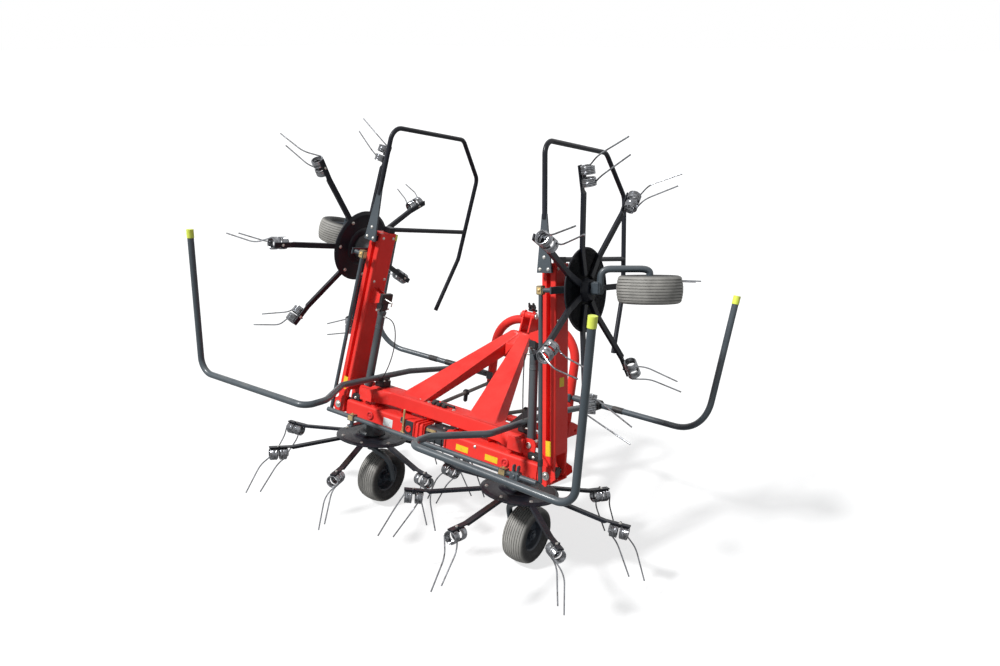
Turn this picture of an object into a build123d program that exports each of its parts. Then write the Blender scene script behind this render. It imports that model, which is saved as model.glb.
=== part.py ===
import os
from math import sin, cos, radians, hypot

from build123d import *

# Four-rotor mounted hay tedder, folded for the road. Millimetres.
# World frame: +X to the machine's right, +Y forward to the headstock, +Z up, ground at Z = 0.
# The whole machine stands pitched forward, so most sizes below are given in the machine's own
# frame: x across, y forward along the pitched deck, n square to the deck, zero at the hub line.

# ---- stance
PITCH = 11.86            # forward lean of the deck, degrees
FOLD = 98.5              # angle from working to folded position, degrees
SHIFT_Y = -184.15         # world y of the hub line, which puts the origin under the middle

# ---- wheels
TYRE_R = 205.0
TYRE_W = 160.0
RIM_R = 112.0
RIM_W = 118.0
RIM_DISH = 14.0
WHEEL_HUB_R = 34.0
WHEEL_HUB_W = 110.0
AXLE_R = 12.5
AXLE_FIT = 0.05
WHEEL_OFF = 5.0          # wheel centre outboard of the rotor axis
WHEEL_FWD = 165.0        # wheel centre ahead of the rotor axis
WHEEL_DROP = 369.0       # wheel centre below the hub line
STRUT_R = 22.0
STRUT_CLEAR = 24.0       # strut tube to tyre side
COLUMN_R = 25.0
COLUMN_FIT = 0.06

# ---- rotors
HUB_X = 688.0            # inner rotor axis from the middle
ARMS = 7
PHASE = 14.3             # angle of the first tine arm, degrees
DISC_R = 268.0
DISC_T = 8.0
DISC_LIP = 10.0          # drop of the rim
DISC_LIP_W = 23.0
BOSS_R = 62.0
BOSS_DROP = 58.0
BAR_W = 38.0
BAR_T = 20.0
BAR_IN = 95.0            # inner end of a tine arm
BAR_BEND = 238.0         # where it starts to slope down
STRIP_T = 9.0            # level end of the bar, over the coils
STRIP_GAP = 0.4
COIL_RING = 707.0        # radius to the middle of a spring pair
COIL_DROP = 120.0        # spring axis below the hub line
COIL_IN = 35.0           # inner radius of a coil
WIRE = 9.5
COIL_LEN = 58.0
COIL_GAP = 20.0
KNEE_OUT = 58.0          # knee beyond the coil ring
KNEE_SIDE = 22.0
KNEE_DROP = 209.0
TIP_OUT = 159.0
TIP_SIDE = 12.0
TIP_DROP = 412.0
TIP_CLOSE = 11.0         # how far each leg of a pair leans toward the other
KNEE_R = 40.0

# ---- rotor gearboxes
DOME_R = 98.0
DOME_TOP_R = 58.0
DOME_H = 96.0
DOME_LIFT = 9.0
NECK_W = 90.0
NECK_Y = 44.0
NECK_L = 46.0

# ---- upper beam and sloping arms
BEAM_X = 700.0           # half length of the box
BEAM_REAR = -45.0
BEAM_D = 165.0
BEAM_BOT = 285.0
BEAM_H = 102.0
SLOPE_OUT = 437.0        # outer edge of a sloping arm at the beam
SLOPE_IN = 205.0
SLOPE_TOP_OUT = 92.0
SLOPE_TOP_IN = 4.0
SLOPE_TOP_Y = 850.0
SLOPE_TOP_N = 875.0
SLOT_END_Y = 705.0       # rounded end of the slot between the sloping arms
SLOPE_H = 118.0
HEAD_L = 40.0            # head block beyond the sloping arms
WEDGE_X = 480.0          # where the beam starts to widen rearward
WEDGE_H = 92.0
SHELF_DROP = 52.0        # underside of the shelf between the hinge cheeks
SHELF_T = 8.0
SPACER_T = 16.0          # plates that carry the drive housing under the beam
SPACER_D = 110.0
SPACER_IN = 150.0
SPACER_MID = 400.0
SPACER_OUT = 660.0

# ---- drive housing under the beam
CASE_IN = 92.0
CASE_X = 868.0
CASE_REAR = -115.0
CASE_D = 200.0
CASE_BOT = 130.0
CASE_H = 122.0
CASE_R = 18.0
CAP_R = 24.0
CAP_X = 618.0

# ---- headstock
ARCH_X = 386.0           # leg centre from the middle
ARCH_Y = 1088.0
ARCH_N = 935.0
ARCH_FOOT = 75.0
ARCH_R = 36.0
ARCH_BEND = 255.0
LINK_PIN_R = 14.25
LINK_GAP = 68.0          # between the two plates of a lower link bracket
LINK_NOSE = 40.0         # plate beyond the pin hole
LINK_Y = 1165.0
LINK_N = 125.0
TOP_PIN_R = 12.5
TOP_Y = 944.0
TOP_N = 1006.0
TOP_BOSS_R = 30.0
TOP_BOSS_L = 15.0
LUG_T = 14.0
STAY_X = 185.0           # level stay rods between the beam and the headstock's legs
STAY_N = 347.0
STAY_R = 13.0
LUG_Y = SLOPE_TOP_Y + HEAD_L + 1    # rear edge of a top-link lug
LUG_IN = 33.0            # inner face of a top-link lug from the middle
TIE_N = 90.0

# ---- fold
HINGE_X = 945.0
HINGE_N = 200.0
ARM_U = 1197.0           # hinge to outer rotor axis
ARM_W = 105.0
ARM_D = 165.0
ARM_REAR = -100.0
ARM_END = 1363.0
ARM_ROOT = 130.0
GROOVE_W = 30.0
GROOVE_D = 40.0
PIN_R = 20.0
PIN_FIT = 0.06
FORK_T = 24.0
EAR_T = 20.0
EAR_GAP = 1.0

# ---- folding cylinders
CYL_Y = -30.0
CYL_X = 750.0
CYL_N = 338.0
ROD_PIN_X = 668.0
ROD_PIN_N = 1058.0
CYL_R = 30.0
ROD_R = 15.0
CYL_BODY = 500.0
EYE_R = 26.0
EYE_W = 40.0
CYL_PIN_R = 12.5

# ---- steering
STEER = 13.0
ROD_Y = -232.5
STEER_N = 176.0
STEER_R = 17.0
TIE_Y = -194.5
TIE_R = 14.0
SEAT_R = 15.0
SEAT_FIT = 0.05
LEVER_T = 12.0
LEVER_W = 46.0
STEER_PIN_R = 8.0
SLOT_CLEAR = 1.6

# ---- guards
GUARD_R = 22.5
REAR_X = 1572.0
REAR_Y = -905.0
REAR_N = 402.0
REAR_IN = 452.0
REAR_RUN_X = 657.0       # where the guard passes over the beam
REAR_RUN_N = 470.0
REAR_DIP = 16.0
REAR_BEND_Y = 330.0
REAR_SWAY_Y = -400.0
REAR_END_Y = 1034.0
CLAMP_Y = 35.0
CLAMP_W = 84.0
CLAMP_D = 90.0
CLAMP_LIP = 2.0
BLOCK_W = 64.0
BLOCK_D = 110.0
FIN_W = 150.0
FIN_T = 8.0
REAR_CAP_Y = -1050.0
REAR_CAP_N = 1422.0
FRONT_X = 1573.0
FRONT_Y = 893.0
FRONT_CUT = 85.0
FRONT_ROOT_N = 408.0
FRONT_N = 442.0
FRONT_CAP_Y = 1050.0
FRONT_CAP_N = 1428.0
GUARD_BEND = 110.0
CAP_L = 48.0
CAP_WALL = 2.5

# ---- hoops on the folding arms
HOOP_REAR = -150.0
HOOP_FRONT = 952.0
HOOP_BASE = 1640.0
HOOP_TOP = 2123.0
HOOP_KNEE = 1153.0
HOOP_END = 704.0
HOOP_END_Y = 804.0
HOOP_CUT_Y = 290.0
HOOP_CUT_U = 290.0
HOOP_R = 17.0
HOOP_BEND = 90.0
HOOP_PLATE = 52.0        # half width of the plate that bolts the hoop to the arm

# ---- parking stand
STAND_Y = 1008.0
STAND_X = 250.0
STAND_W = 50.0
STAND_TOP = 330.0
STAND_FIT = 0.08
SLEEVE_T = 6.0
SLEEVE_H = 100.0
FOOT_W = 120.0
FOOT_L = 150.0
FOOT_T = 8.0

# ---- drive joint boots at the hinges
BOOT_Y = ARM_REAR + ARM_D / 2
BOOT_CLEAR = 14.5
BOOT_R = ARM_D / 2 - FORK_T - BOOT_CLEAR

s, c = sin(radians(PITCH)), cos(radians(PITCH))
HUB_Z = TYRE_R + WHEEL_FWD * s + WHEEL_DROP * c
DECK = Plane(origin=(0, SHIFT_Y, HUB_Z), x_dir=(1, 0, 0), z_dir=(0, s, c))


def at(x, y, n):
    """World point of a place in the machine's frame."""
    return DECK.from_local_coords(Vector(x, y, n))


def deck(x, y, n):
    """Plane parallel to the deck."""
    return Plane(origin=at(x, y, n), x_dir=DECK.x_dir, z_dir=DECK.z_dir)


def rear(x, y, n):
    """Plane square to the deck, facing rearward, its local x along +x and y along n."""
    return Plane(origin=at(x, y, n), x_dir=DECK.x_dir, z_dir=-DECK.y_dir)


def flank(x, y, n):
    """Plane facing +x, its local x forward along the deck and y along n."""
    return Plane(origin=at(x, y, n), x_dir=DECK.y_dir, z_dir=DECK.x_dir)


f = radians(FOLD)
ARM_X_DIR = DECK.x_dir * cos(f) + DECK.z_dir * sin(f)
ARM_Z_DIR = DECK.z_dir * cos(f) - DECK.x_dir * sin(f)
ARM = Plane(origin=at(HINGE_X, 0, HINGE_N), x_dir=ARM_X_DIR, z_dir=ARM_Z_DIR)
HUB_V = -HINGE_N         # the outer hub line is level with the inner one when the arm works


def arm_at(u, y, v):
    return ARM.from_local_coords(Vector(u, y, v))


def arm_deck(u, y, v):
    return Plane(origin=arm_at(u, y, v), x_dir=ARM.x_dir, z_dir=ARM.z_dir)


def arm_rear(u, y, v):
    return Plane(origin=arm_at(u, y, v), x_dir=ARM.x_dir, z_dir=-ARM.y_dir)


def arm_cross(u, y, v):
    """Plane across the arm, facing outward, local x forward and y along v."""
    return Plane(origin=arm_at(u, y, v), x_dir=ARM.y_dir, z_dir=ARM.x_dir)


INNER_R = deck(HUB_X, 0, 0)
INNER_L = deck(-HUB_X, 0, 0)
OUTER_R = arm_deck(ARM_U, 0, HUB_V)
flip = OUTER_R.origin
OUTER_L = Plane(
    origin=(-flip.X, flip.Y, flip.Z),
    x_dir=(ARM.x_dir.X, -ARM.x_dir.Y, -ARM.x_dir.Z),
    z_dir=(-ARM.z_dir.X, ARM.z_dir.Y, ARM.z_dir.Z),
)

written = []


def keep(part, name):
    """Label a finished piece and write it."""
    part.label = name
    export_step(part, "parts/" + name + ".step")
    written.append(part)


def mirrored(part):
    """The left-hand copy of a right-hand piece."""
    with BuildPart() as other:
        add(part)
        mirror(about=Plane.YZ, mode=Mode.REPLACE)
    return other.part


os.makedirs("parts", exist_ok=True)

# ---- upper beam with the two sloping arms and the hinge cheeks
BEAM_TOP = BEAM_BOT + BEAM_H
BEAM_FRONT = BEAM_REAR + BEAM_D
CHEEK_REAR = ARM_REAR - EAR_GAP - EAR_T
ARM_FRONT = ARM_REAR + ARM_D
def sloping_arm(side):
    """Tapered box arm from the beam up to the headstock."""
    with BuildPart() as arm:
        with BuildSketch(deck(0, 0, BEAM_TOP - 8)):
            with Locations((side * (SLOPE_OUT + SLOPE_IN) / 2, BEAM_REAR + BEAM_D / 2)):
                Rectangle(SLOPE_OUT - SLOPE_IN, BEAM_D - 20)
        head_mid = at(0, SLOPE_TOP_Y, SLOPE_TOP_N - SLOPE_H / 2)
        with BuildSketch(Plane(origin=head_mid, x_dir=DECK.x_dir, z_dir=DECK.y_dir)):
            with Locations((side * (SLOPE_TOP_OUT + SLOPE_TOP_IN) / 2, 0)):
                Rectangle(SLOPE_TOP_OUT - SLOPE_TOP_IN, SLOPE_H)
        loft()
    return arm.part


with BuildPart() as centre_frame:
    with BuildSketch(flank(-BEAM_X, 0, 0)):
        with Locations((BEAM_REAR + BEAM_D / 2, BEAM_BOT + BEAM_H / 2)):
            RectangleRounded(BEAM_D, BEAM_H, 12)
    extrude(amount=2 * BEAM_X)
    add(sloping_arm(1))
    add(sloping_arm(-1))
    with BuildSketch(flank(-SLOPE_TOP_OUT, 0, 0)):
        with Locations((SLOPE_TOP_Y - 5 + HEAD_L / 2, SLOPE_TOP_N - SLOPE_H / 2)):
            Rectangle(HEAD_L + 10, SLOPE_H)
    extrude(amount=2 * SLOPE_TOP_OUT)
    rise = (SLOPE_TOP_N - BEAM_TOP) / (SLOPE_TOP_Y - BEAM_REAR)
    lip = SLOPE_TOP_N - 3 - rise * (SLOPE_TOP_Y - SLOT_END_Y)
    with BuildSketch(flank(-LUG_IN, 0, 0)):
        with BuildLine():
            Polyline(
                (SLOT_END_Y, lip), (SLOPE_TOP_Y, SLOPE_TOP_N - 3), (ARCH_Y - ARCH_R - 8, SLOPE_TOP_N - 3),
                (ARCH_Y - ARCH_R - 8, SLOPE_TOP_N - SLOPE_H), (SLOPE_TOP_Y, SLOPE_TOP_N - SLOPE_H),
                (SLOT_END_Y, lip - SLOPE_H + 12), close=True,
            )
        make_face()
    extrude(amount=2 * LUG_IN)
    with BuildSketch(deck(0, 0, BEAM_TOP - 5)):
        for side in (1, -1):
            with BuildLine():
                Polyline(
                    (side * WEDGE_X, BEAM_REAR + 6), (side * BEAM_X, BEAM_REAR + 6), (side * BEAM_X, CHEEK_REAR + 4),
                    (side * (BEAM_X - 60), CHEEK_REAR + 4), close=True,
                )
            make_face()
    extrude(amount=-WEDGE_H)
    with BuildSketch(deck(0, 0, CASE_BOT + CASE_H)):
        for x in (-SPACER_OUT, -SPACER_MID, -SPACER_IN, SPACER_IN, SPACER_MID, SPACER_OUT):
            with Locations((x, BEAM_REAR + BEAM_D / 2)):
                Rectangle(SPACER_T, SPACER_D)
    extrude(amount=BEAM_BOT - CASE_BOT - CASE_H + 6)
    for y0 in (CHEEK_REAR, ARM_FRONT + EAR_GAP):
        with BuildSketch(rear(0, y0 + EAR_T, 0)):
            for side in (1, -1):
                with BuildLine():
                    Polyline(
                        (side * (BEAM_X - 80), BEAM_TOP - 5), (side * (CASE_X - 40), BEAM_TOP - 5),
                        (side * (HINGE_X + 40), HINGE_N + 36), (side * (HINGE_X + 40), HINGE_N - SHELF_DROP),
                        (side * (CASE_X + 16), HINGE_N - SHELF_DROP), (side * (CASE_X + 16), BEAM_BOT - 24),
                        (side * (CASE_X - 30), BEAM_BOT + 5), (side * (BEAM_X - 80), BEAM_BOT + 5), close=True,
                    )
                make_face()
            with Locations((HINGE_X, HINGE_N), (-HINGE_X, HINGE_N)):
                Circle(PIN_R, mode=Mode.SUBTRACT)
            with Locations((CYL_X, CYL_N), (-CYL_X, CYL_N)):
                Circle(CYL_PIN_R, mode=Mode.SUBTRACT)
        extrude(amount=EAR_T)
    with BuildSketch(deck(0, (CHEEK_REAR + EAR_T + ARM_FRONT + EAR_GAP) / 2, HINGE_N - SHELF_DROP)):
        for side in (1, -1):
            with Locations((side * (HINGE_X + 40 + CASE_X + 16) / 2, 0)):
                Rectangle(HINGE_X + 24 - CASE_X, ARM_FRONT + EAR_GAP - CHEEK_REAR - EAR_T + 4)
    extrude(amount=SHELF_T)
keep(centre_frame.part, "centre_frame")

# ---- drive housing
with BuildPart() as drive_housing:
    for side in (1, -1):
        with BuildSketch(flank(CASE_IN if side > 0 else -CASE_X, 0, 0)):
            with Locations((CASE_REAR + CASE_D / 2, CASE_BOT + CASE_H / 2)):
                RectangleRounded(CASE_D, CASE_H, CASE_R)
        extrude(amount=CASE_X - CASE_IN)
        with Locations(deck(side * CAP_X, CASE_REAR + CAP_R + 12, CASE_BOT + CASE_H)):
            Cylinder(CAP_R, 12, align=(Align.CENTER, Align.CENTER, Align.MIN))
keep(drive_housing.part, "drive_housing")

# ---- central gearbox between the two housings, with its input stub
with BuildPart() as centre_gearbox:
    with BuildSketch(flank(-CASE_IN, 0, 0)):
        with Locations((CASE_REAR + CASE_D / 2, CASE_BOT + CASE_H / 2)):
            RectangleRounded(CASE_D - 24, CASE_H - 10, 26)
    extrude(amount=2 * CASE_IN)
    with BuildSketch(rear(0, CASE_REAR + CASE_D - 14, CASE_BOT + CASE_H / 2)):
        Circle(48)
    extrude(amount=-40)
    with BuildSketch(rear(0, CASE_REAR + CASE_D + 24, CASE_BOT + CASE_H / 2)):
        Circle(17.5)
    extrude(amount=-110)
keep(centre_gearbox.part, "centre_gearbox")

# ---- headstock: arch, top-link lugs, lower-link brackets and pins
with BuildPart() as headstock:
    with BuildLine() as arch_line:
        FilletPolyline(
            at(-ARCH_X, ARCH_Y, ARCH_FOOT), at(-ARCH_X, ARCH_Y, ARCH_N),
            at(ARCH_X, ARCH_Y, ARCH_N), at(ARCH_X, ARCH_Y, ARCH_FOOT), radius=ARCH_BEND,
        )
    with BuildSketch(deck(-ARCH_X, ARCH_Y, ARCH_FOOT)):
        Circle(ARCH_R)
    sweep(path=arch_line.line)
    with BuildSketch(flank(-ARCH_X, ARCH_Y, TIE_N)):
        Circle(30)
    extrude(amount=2 * ARCH_X)
    for side in (1, -1):
        for gap in (-1, 1):
            x0 = side * ARCH_X + gap * LINK_GAP / 2 - (LUG_T if gap < 0 else 0)
            with BuildSketch(flank(x0, 0, 0)):
                with BuildLine():
                    Polyline(
                        (ARCH_Y - ARCH_R, LINK_N + 2 * LINK_NOSE), (ARCH_Y + 20, LINK_N + 2 * LINK_NOSE),
                        (LINK_Y + LINK_NOSE, LINK_N + LINK_NOSE), (LINK_Y + LINK_NOSE, LINK_N - LINK_NOSE),
                        (ARCH_Y - ARCH_R, LINK_N - LINK_NOSE), close=True,
                    )
                make_face()
                with Locations((LINK_Y, LINK_N)):
                    Circle(LINK_PIN_R, mode=Mode.SUBTRACT)
            extrude(amount=LUG_T)
    with BuildSketch(deck(0, 0, TIE_N - SLEEVE_H / 2)):
        with Locations((STAND_X, STAND_Y)):
            Rectangle(STAND_W + 2 * SLEEVE_T, STAND_W + 2 * SLEEVE_T)
        with Locations((STAND_X, (STAND_Y + STAND_W / 2 + ARCH_Y) / 2)):
            Rectangle(STAND_W, ARCH_Y - STAND_Y - STAND_W / 2)
        with Locations((STAND_X, STAND_Y)):
            Rectangle(STAND_W + 2 * STAND_FIT, STAND_W + 2 * STAND_FIT, mode=Mode.SUBTRACT)
    extrude(amount=SLEEVE_H)
    for x0 in (LUG_IN, -LUG_IN - LUG_T):
        with BuildSketch(flank(x0, 0, 0)):
            with BuildLine():
                Polyline(
                    (LUG_Y, SLOPE_TOP_N - SLOPE_H), (LUG_Y, SLOPE_TOP_N + 6), (TOP_Y - 22, TOP_N + 28),
                    (TOP_Y + 6, TOP_N + 38), (TOP_Y + 36, TOP_N + 12), (ARCH_Y - ARCH_R, ARCH_N + 22),
                    (ARCH_Y, ARCH_N + ARCH_R - 8), (ARCH_Y, ARCH_N - ARCH_R + 8), (ARCH_Y - ARCH_R, ARCH_N - 74),
                    (ARCH_Y - ARCH_R - 50, SLOPE_TOP_N - SLOPE_H), close=True,
                )
            make_face()
        extrude(amount=LUG_T)
    for x0 in (LUG_IN, -LUG_IN - LUG_T - TOP_BOSS_L):
        with BuildSketch(flank(x0, TOP_Y, TOP_N)):
            Circle(TOP_BOSS_R)
        extrude(amount=LUG_T + TOP_BOSS_L)
        with BuildSketch(flank(x0, TOP_Y, TOP_N)):
            Circle(TOP_PIN_R)
        extrude(amount=LUG_T + TOP_BOSS_L, mode=Mode.SUBTRACT)
    for side in (1, -1):
        stay = at(side * ARCH_X, ARCH_Y, STAY_N - 2) - at(side * STAY_X, BEAM_FRONT, STAY_N)
        with BuildSketch(Plane(origin=at(side * STAY_X, BEAM_FRONT, STAY_N), x_dir=DECK.x_dir, z_dir=DECK.y_dir)):
            Circle(STAY_R)
        extrude(amount=stay.length, dir=stay.normalized())
keep(headstock.part, "headstock")

# ---- rotor gearboxes: domed castings hanging on a neck ahead of the steering lever
def gearbox(plane, hung):
    """Domed casting on a rotor plane; hung is the height of what carries it."""
    with BuildPart(plane) as box:
        with BuildSketch(Plane(origin=plane.origin, x_dir=plane.x_dir, z_dir=-plane.y_dir)) as half:
            with BuildLine():
                l1 = Polyline((COLUMN_R + COLUMN_FIT, DOME_LIFT), (DOME_R, DOME_LIFT), (DOME_R, DOME_LIFT + 14))
                l2 = Spline(
                    (DOME_R, DOME_LIFT + 14), (DOME_TOP_R + 14, DOME_LIFT + 0.62 * DOME_H),
                    (DOME_TOP_R, DOME_LIFT + DOME_H),
                )
                Polyline(l2 @ 1, (COLUMN_R + COLUMN_FIT, DOME_LIFT + DOME_H), l1 @ 0)
            make_face()
        revolve(axis=Axis(plane.origin, plane.z_dir))
        neck = Plane(origin=plane.from_local_coords(Vector(0, 0, DOME_LIFT + 40)), x_dir=plane.x_dir, z_dir=plane.z_dir)
        with BuildSketch(neck):
            with Locations((0, NECK_Y + NECK_L / 2)):
                Rectangle(NECK_W, NECK_L)
        extrude(amount=hung - DOME_LIFT - 40)
    return box.part


with BuildPart() as inner_gearboxes:
    add(gearbox(INNER_R, CASE_BOT))
    mirror(about=Plane.YZ)
keep(inner_gearboxes.part, "inner_gearboxes")
ARM_UNDER = -ARM_W / 2
outer_gearbox = gearbox(OUTER_R, ARM_UNDER - HUB_V)
keep(outer_gearbox, "outer_gearbox_right")
keep(mirrored(outer_gearbox), "outer_gearbox_left")


# ---- rotors: dished disc with tine arms, and the double spring tines
BAR_OUT = COIL_RING - COIL_GAP / 2 - COIL_LEN - 10
CLAMP_BOLT_R = 7.0
CLAMP_BOLT_Y = 14.5
COIL_WALL = WIRE + 1.6
LEG_X = COIL_GAP / 2 + COIL_LEN - WIRE / 2 - 1.2


def tine_arm():
    """One arm with its spring spindle, along local +x."""
    top = -DISC_T + 1
    strip = COIL_IN + COIL_WALL + STRIP_GAP - COIL_DROP
    strip_end = COIL_RING + COIL_GAP / 2 + COIL_LEN
    with BuildPart() as bar:
        with BuildSketch(Plane.XZ):
            with BuildLine():
                Polyline(
                    (BAR_IN, top), (BAR_BEND, top), (BAR_OUT - 20, strip + STRIP_T), (strip_end, strip + STRIP_T),
                    (strip_end, strip), (BAR_OUT - 4, strip), (BAR_OUT - 24, strip + STRIP_T - BAR_T),
                    (BAR_BEND - 4, top - BAR_T), (BAR_IN, top - BAR_T), close=True,
                )
            make_face()
        extrude(amount=BAR_W / 2, both=True)
        with BuildSketch(Plane(origin=(COIL_RING, CLAMP_BOLT_Y, strip + STRIP_T + 7))):
            Circle(CLAMP_BOLT_R)
        extrude(amount=-(STRIP_T + 7 + COIL_WALL + 10))
        with BuildSketch(Plane(origin=(COIL_RING, CLAMP_BOLT_Y / 2, strip - STRIP_GAP - COIL_WALL - 1))):
            Rectangle(COIL_GAP - 3, CLAMP_BOLT_Y + 2 * CLAMP_BOLT_R + 4)
        extrude(amount=-6)
    return bar.part


def tine(hand):
    """Double tine of one wire, along local +x, leaning to the side given by hand."""
    with BuildPart() as wire:
        for end in (-1, 1):
            start = COIL_RING + end * (COIL_GAP / 2 + COIL_LEN / 2) - COIL_LEN / 2
            with BuildSketch(Plane(origin=(start, 0, -COIL_DROP), x_dir=(0, 1, 0), z_dir=(1, 0, 0))):
                Circle(COIL_IN + COIL_WALL)
                Circle(COIL_IN, mode=Mode.SUBTRACT)
            extrude(amount=COIL_LEN)
            root = COIL_RING + end * LEG_X
            side = -hand * (COIL_IN + COIL_WALL / 2)
            with BuildLine() as leg:
                FilletPolyline(
                    (root, side, -COIL_DROP), (root + KNEE_OUT, hand * KNEE_SIDE, -KNEE_DROP),
                    (root + TIP_OUT - end * TIP_CLOSE, hand * TIP_SIDE, -TIP_DROP), radius=KNEE_R,
                )
            with BuildSketch(Plane(origin=leg.line @ 0, z_dir=leg.line % 0)):
                Circle(WIRE / 2)
            sweep(path=leg.line)
        bridge = Vector(COIL_RING - COIL_GAP / 2 - 2, 0, COIL_IN + COIL_WALL / 2 - COIL_DROP)
        with BuildSketch(Plane(origin=bridge, x_dir=(0, 1, 0), z_dir=(1, 0, 0))):
            Circle(WIRE / 2)
        extrude(amount=COIL_GAP + 4)
    return wire.part


def rotor(plane, phase):
    with BuildPart(plane) as wheel:
        with BuildSketch(Plane(origin=plane.origin, x_dir=plane.x_dir, z_dir=-plane.y_dir)):
            with BuildLine():
                Polyline(
                    (COLUMN_R + COLUMN_FIT, 0), (DISC_R - DISC_LIP_W, 0), (DISC_R, -DISC_LIP), (DISC_R, -DISC_LIP - DISC_T),
                    (DISC_R - DISC_LIP_W - 2, -DISC_T), (BOSS_R + 14, -DISC_T), (BOSS_R, -BOSS_DROP),
                    (COLUMN_R + COLUMN_FIT, -BOSS_DROP), close=True,
                )
            make_face()
        revolve(axis=Axis(plane.origin, plane.z_dir))
        with PolarLocations(0, ARMS, start_angle=phase):
            add(one_arm)
    return wheel.part


def rotor_tines(plane, phase, hand):
    with BuildPart(plane) as ring:
        with PolarLocations(0, ARMS, start_angle=phase):
            add(tine(hand))
    return ring.part


one_arm = tine_arm()
for name, plane, phase, hand in (
    ("inner_right", INNER_R, PHASE, 1),
    ("inner_left", INNER_L, -PHASE, -1),
    ("outer_right", OUTER_R, -PHASE, -1),
    ("outer_left", OUTER_L, PHASE, 1),
):
    keep(rotor(plane, phase), "rotor_" + name)
    keep(rotor_tines(plane, phase, hand), "tines_" + name)

# ---- wheels and struts, in the right-hand rotor frame; out is +1 when the strut is outboard
AXLE_FAR = TYRE_W / 2 + STRUT_CLEAR + STRUT_R


def strut(plane, out, pin_y):
    """Column, bent tube, axle and steering lever of one wheel."""
    side_x = WHEEL_OFF + out * AXLE_FAR
    local = plane.from_local_coords
    with BuildPart() as leg:
        with BuildSketch(Plane(origin=local(Vector(0, 0, -BOSS_DROP - 60)), x_dir=plane.x_dir, z_dir=plane.z_dir)):
            Circle(COLUMN_R)
        extrude(amount=DOME_LIFT + DOME_H + 3 + LEVER_T + BOSS_DROP + 60)
        with BuildLine() as bent:
            FilletPolyline(
                local(Vector(0, 0, -BOSS_DROP - 30)), local(Vector(0, 0, -BOSS_DROP - 75)),
                local(Vector(side_x, WHEEL_FWD * 0.45, -BOSS_DROP - 120)),
                local(Vector(side_x, WHEEL_FWD, -WHEEL_DROP - 12)), radius=24,
            )
        with BuildSketch(Plane(origin=bent.line @ 0, z_dir=bent.line % 0)):
            Circle(STRUT_R)
        sweep(path=bent.line)
        start = WHEEL_OFF - out * (WHEEL_HUB_W / 2 + 14)
        with BuildSketch(Plane(origin=local(Vector(start, WHEEL_FWD, -WHEEL_DROP)), z_dir=plane.x_dir * out)):
            Circle(AXLE_R)
        extrude(amount=AXLE_FAR + WHEEL_HUB_W / 2 + 14)
        with BuildSketch(Plane(origin=local(Vector(0, 0, DOME_LIFT + DOME_H + 3)), x_dir=plane.x_dir, z_dir=plane.z_dir)):
            Circle(COLUMN_R + 14)
            with Locations((0, (pin_y - 26) / 2)):
                Rectangle(LEVER_W, -pin_y + 26)
            with Locations((0, pin_y)):
                SlotOverall(2 * STEER_PIN_R + 2 * SLOT_CLEAR + 26, 2 * STEER_PIN_R + 2 * SLOT_CLEAR,
                            rotation=90, mode=Mode.SUBTRACT)
        extrude(amount=LEVER_T)
    return leg.part


def tyre(plane):
    hub = Plane(origin=plane.from_local_coords(Vector(WHEEL_OFF, WHEEL_FWD, -WHEEL_DROP)), x_dir=plane.x_dir,
                z_dir=plane.z_dir)
    with BuildPart() as ring:
        with BuildSketch(Plane(origin=hub.origin, x_dir=plane.x_dir, z_dir=-plane.y_dir)) as section:
            with BuildLine():
                l1 = Line((-RIM_W / 2, RIM_R), (RIM_W / 2, RIM_R))
                l2 = ThreePointArc(l1 @ 1, (TYRE_W / 2, (RIM_R + TYRE_R) / 2), (TYRE_W * 0.4, TYRE_R - 8))
                l3 = ThreePointArc(l2 @ 1, (0, TYRE_R), (-TYRE_W * 0.4, TYRE_R - 8))
                ThreePointArc(l3 @ 1, (-TYRE_W / 2, (RIM_R + TYRE_R) / 2), l1 @ 0)
            make_face()
        revolve(axis=Axis(hub.origin, plane.x_dir))
    return ring.part


def rim(plane):
    origin = plane.from_local_coords(Vector(WHEEL_OFF, WHEEL_FWD, -WHEEL_DROP))
    with BuildPart() as wheel:
        with BuildSketch(Plane(origin=origin, x_dir=plane.x_dir, z_dir=-plane.y_dir)):
            with BuildLine():
                w = RIM_W / 2
                h = WHEEL_HUB_W / 2
                Polyline(
                    (-h, AXLE_R + AXLE_FIT), (h, AXLE_R + AXLE_FIT), (h, WHEEL_HUB_R), (RIM_DISH + 6, WHEEL_HUB_R),
                    (RIM_DISH, RIM_R - 18), (w - 8, RIM_R - 10), (w, RIM_R), (-w, RIM_R), (-w + 8, RIM_R - 10),
                    (RIM_DISH - 10, RIM_R - 18), (-RIM_DISH, WHEEL_HUB_R), (-h, WHEEL_HUB_R), close=True,
                )
            make_face()
        revolve(axis=Axis(origin, plane.x_dir))
    return wheel.part


for name, plane, out, pin_y in (
    ("inner_right", INNER_R, -1, ROD_Y),
    ("outer_right", OUTER_R, 1, TIE_Y),
):
    keep(strut(plane, out, pin_y), "strut_" + name)
    keep(mirrored(strut(plane, out, pin_y)), "strut_" + name.replace("right", "left"))
    keep(tyre(plane), "tyre_" + name)
    keep(mirrored(tyre(plane)), "tyre_" + name.replace("right", "left"))
    keep(rim(plane), "rim_" + name)
    keep(mirrored(rim(plane)), "rim_" + name.replace("right", "left"))

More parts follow.
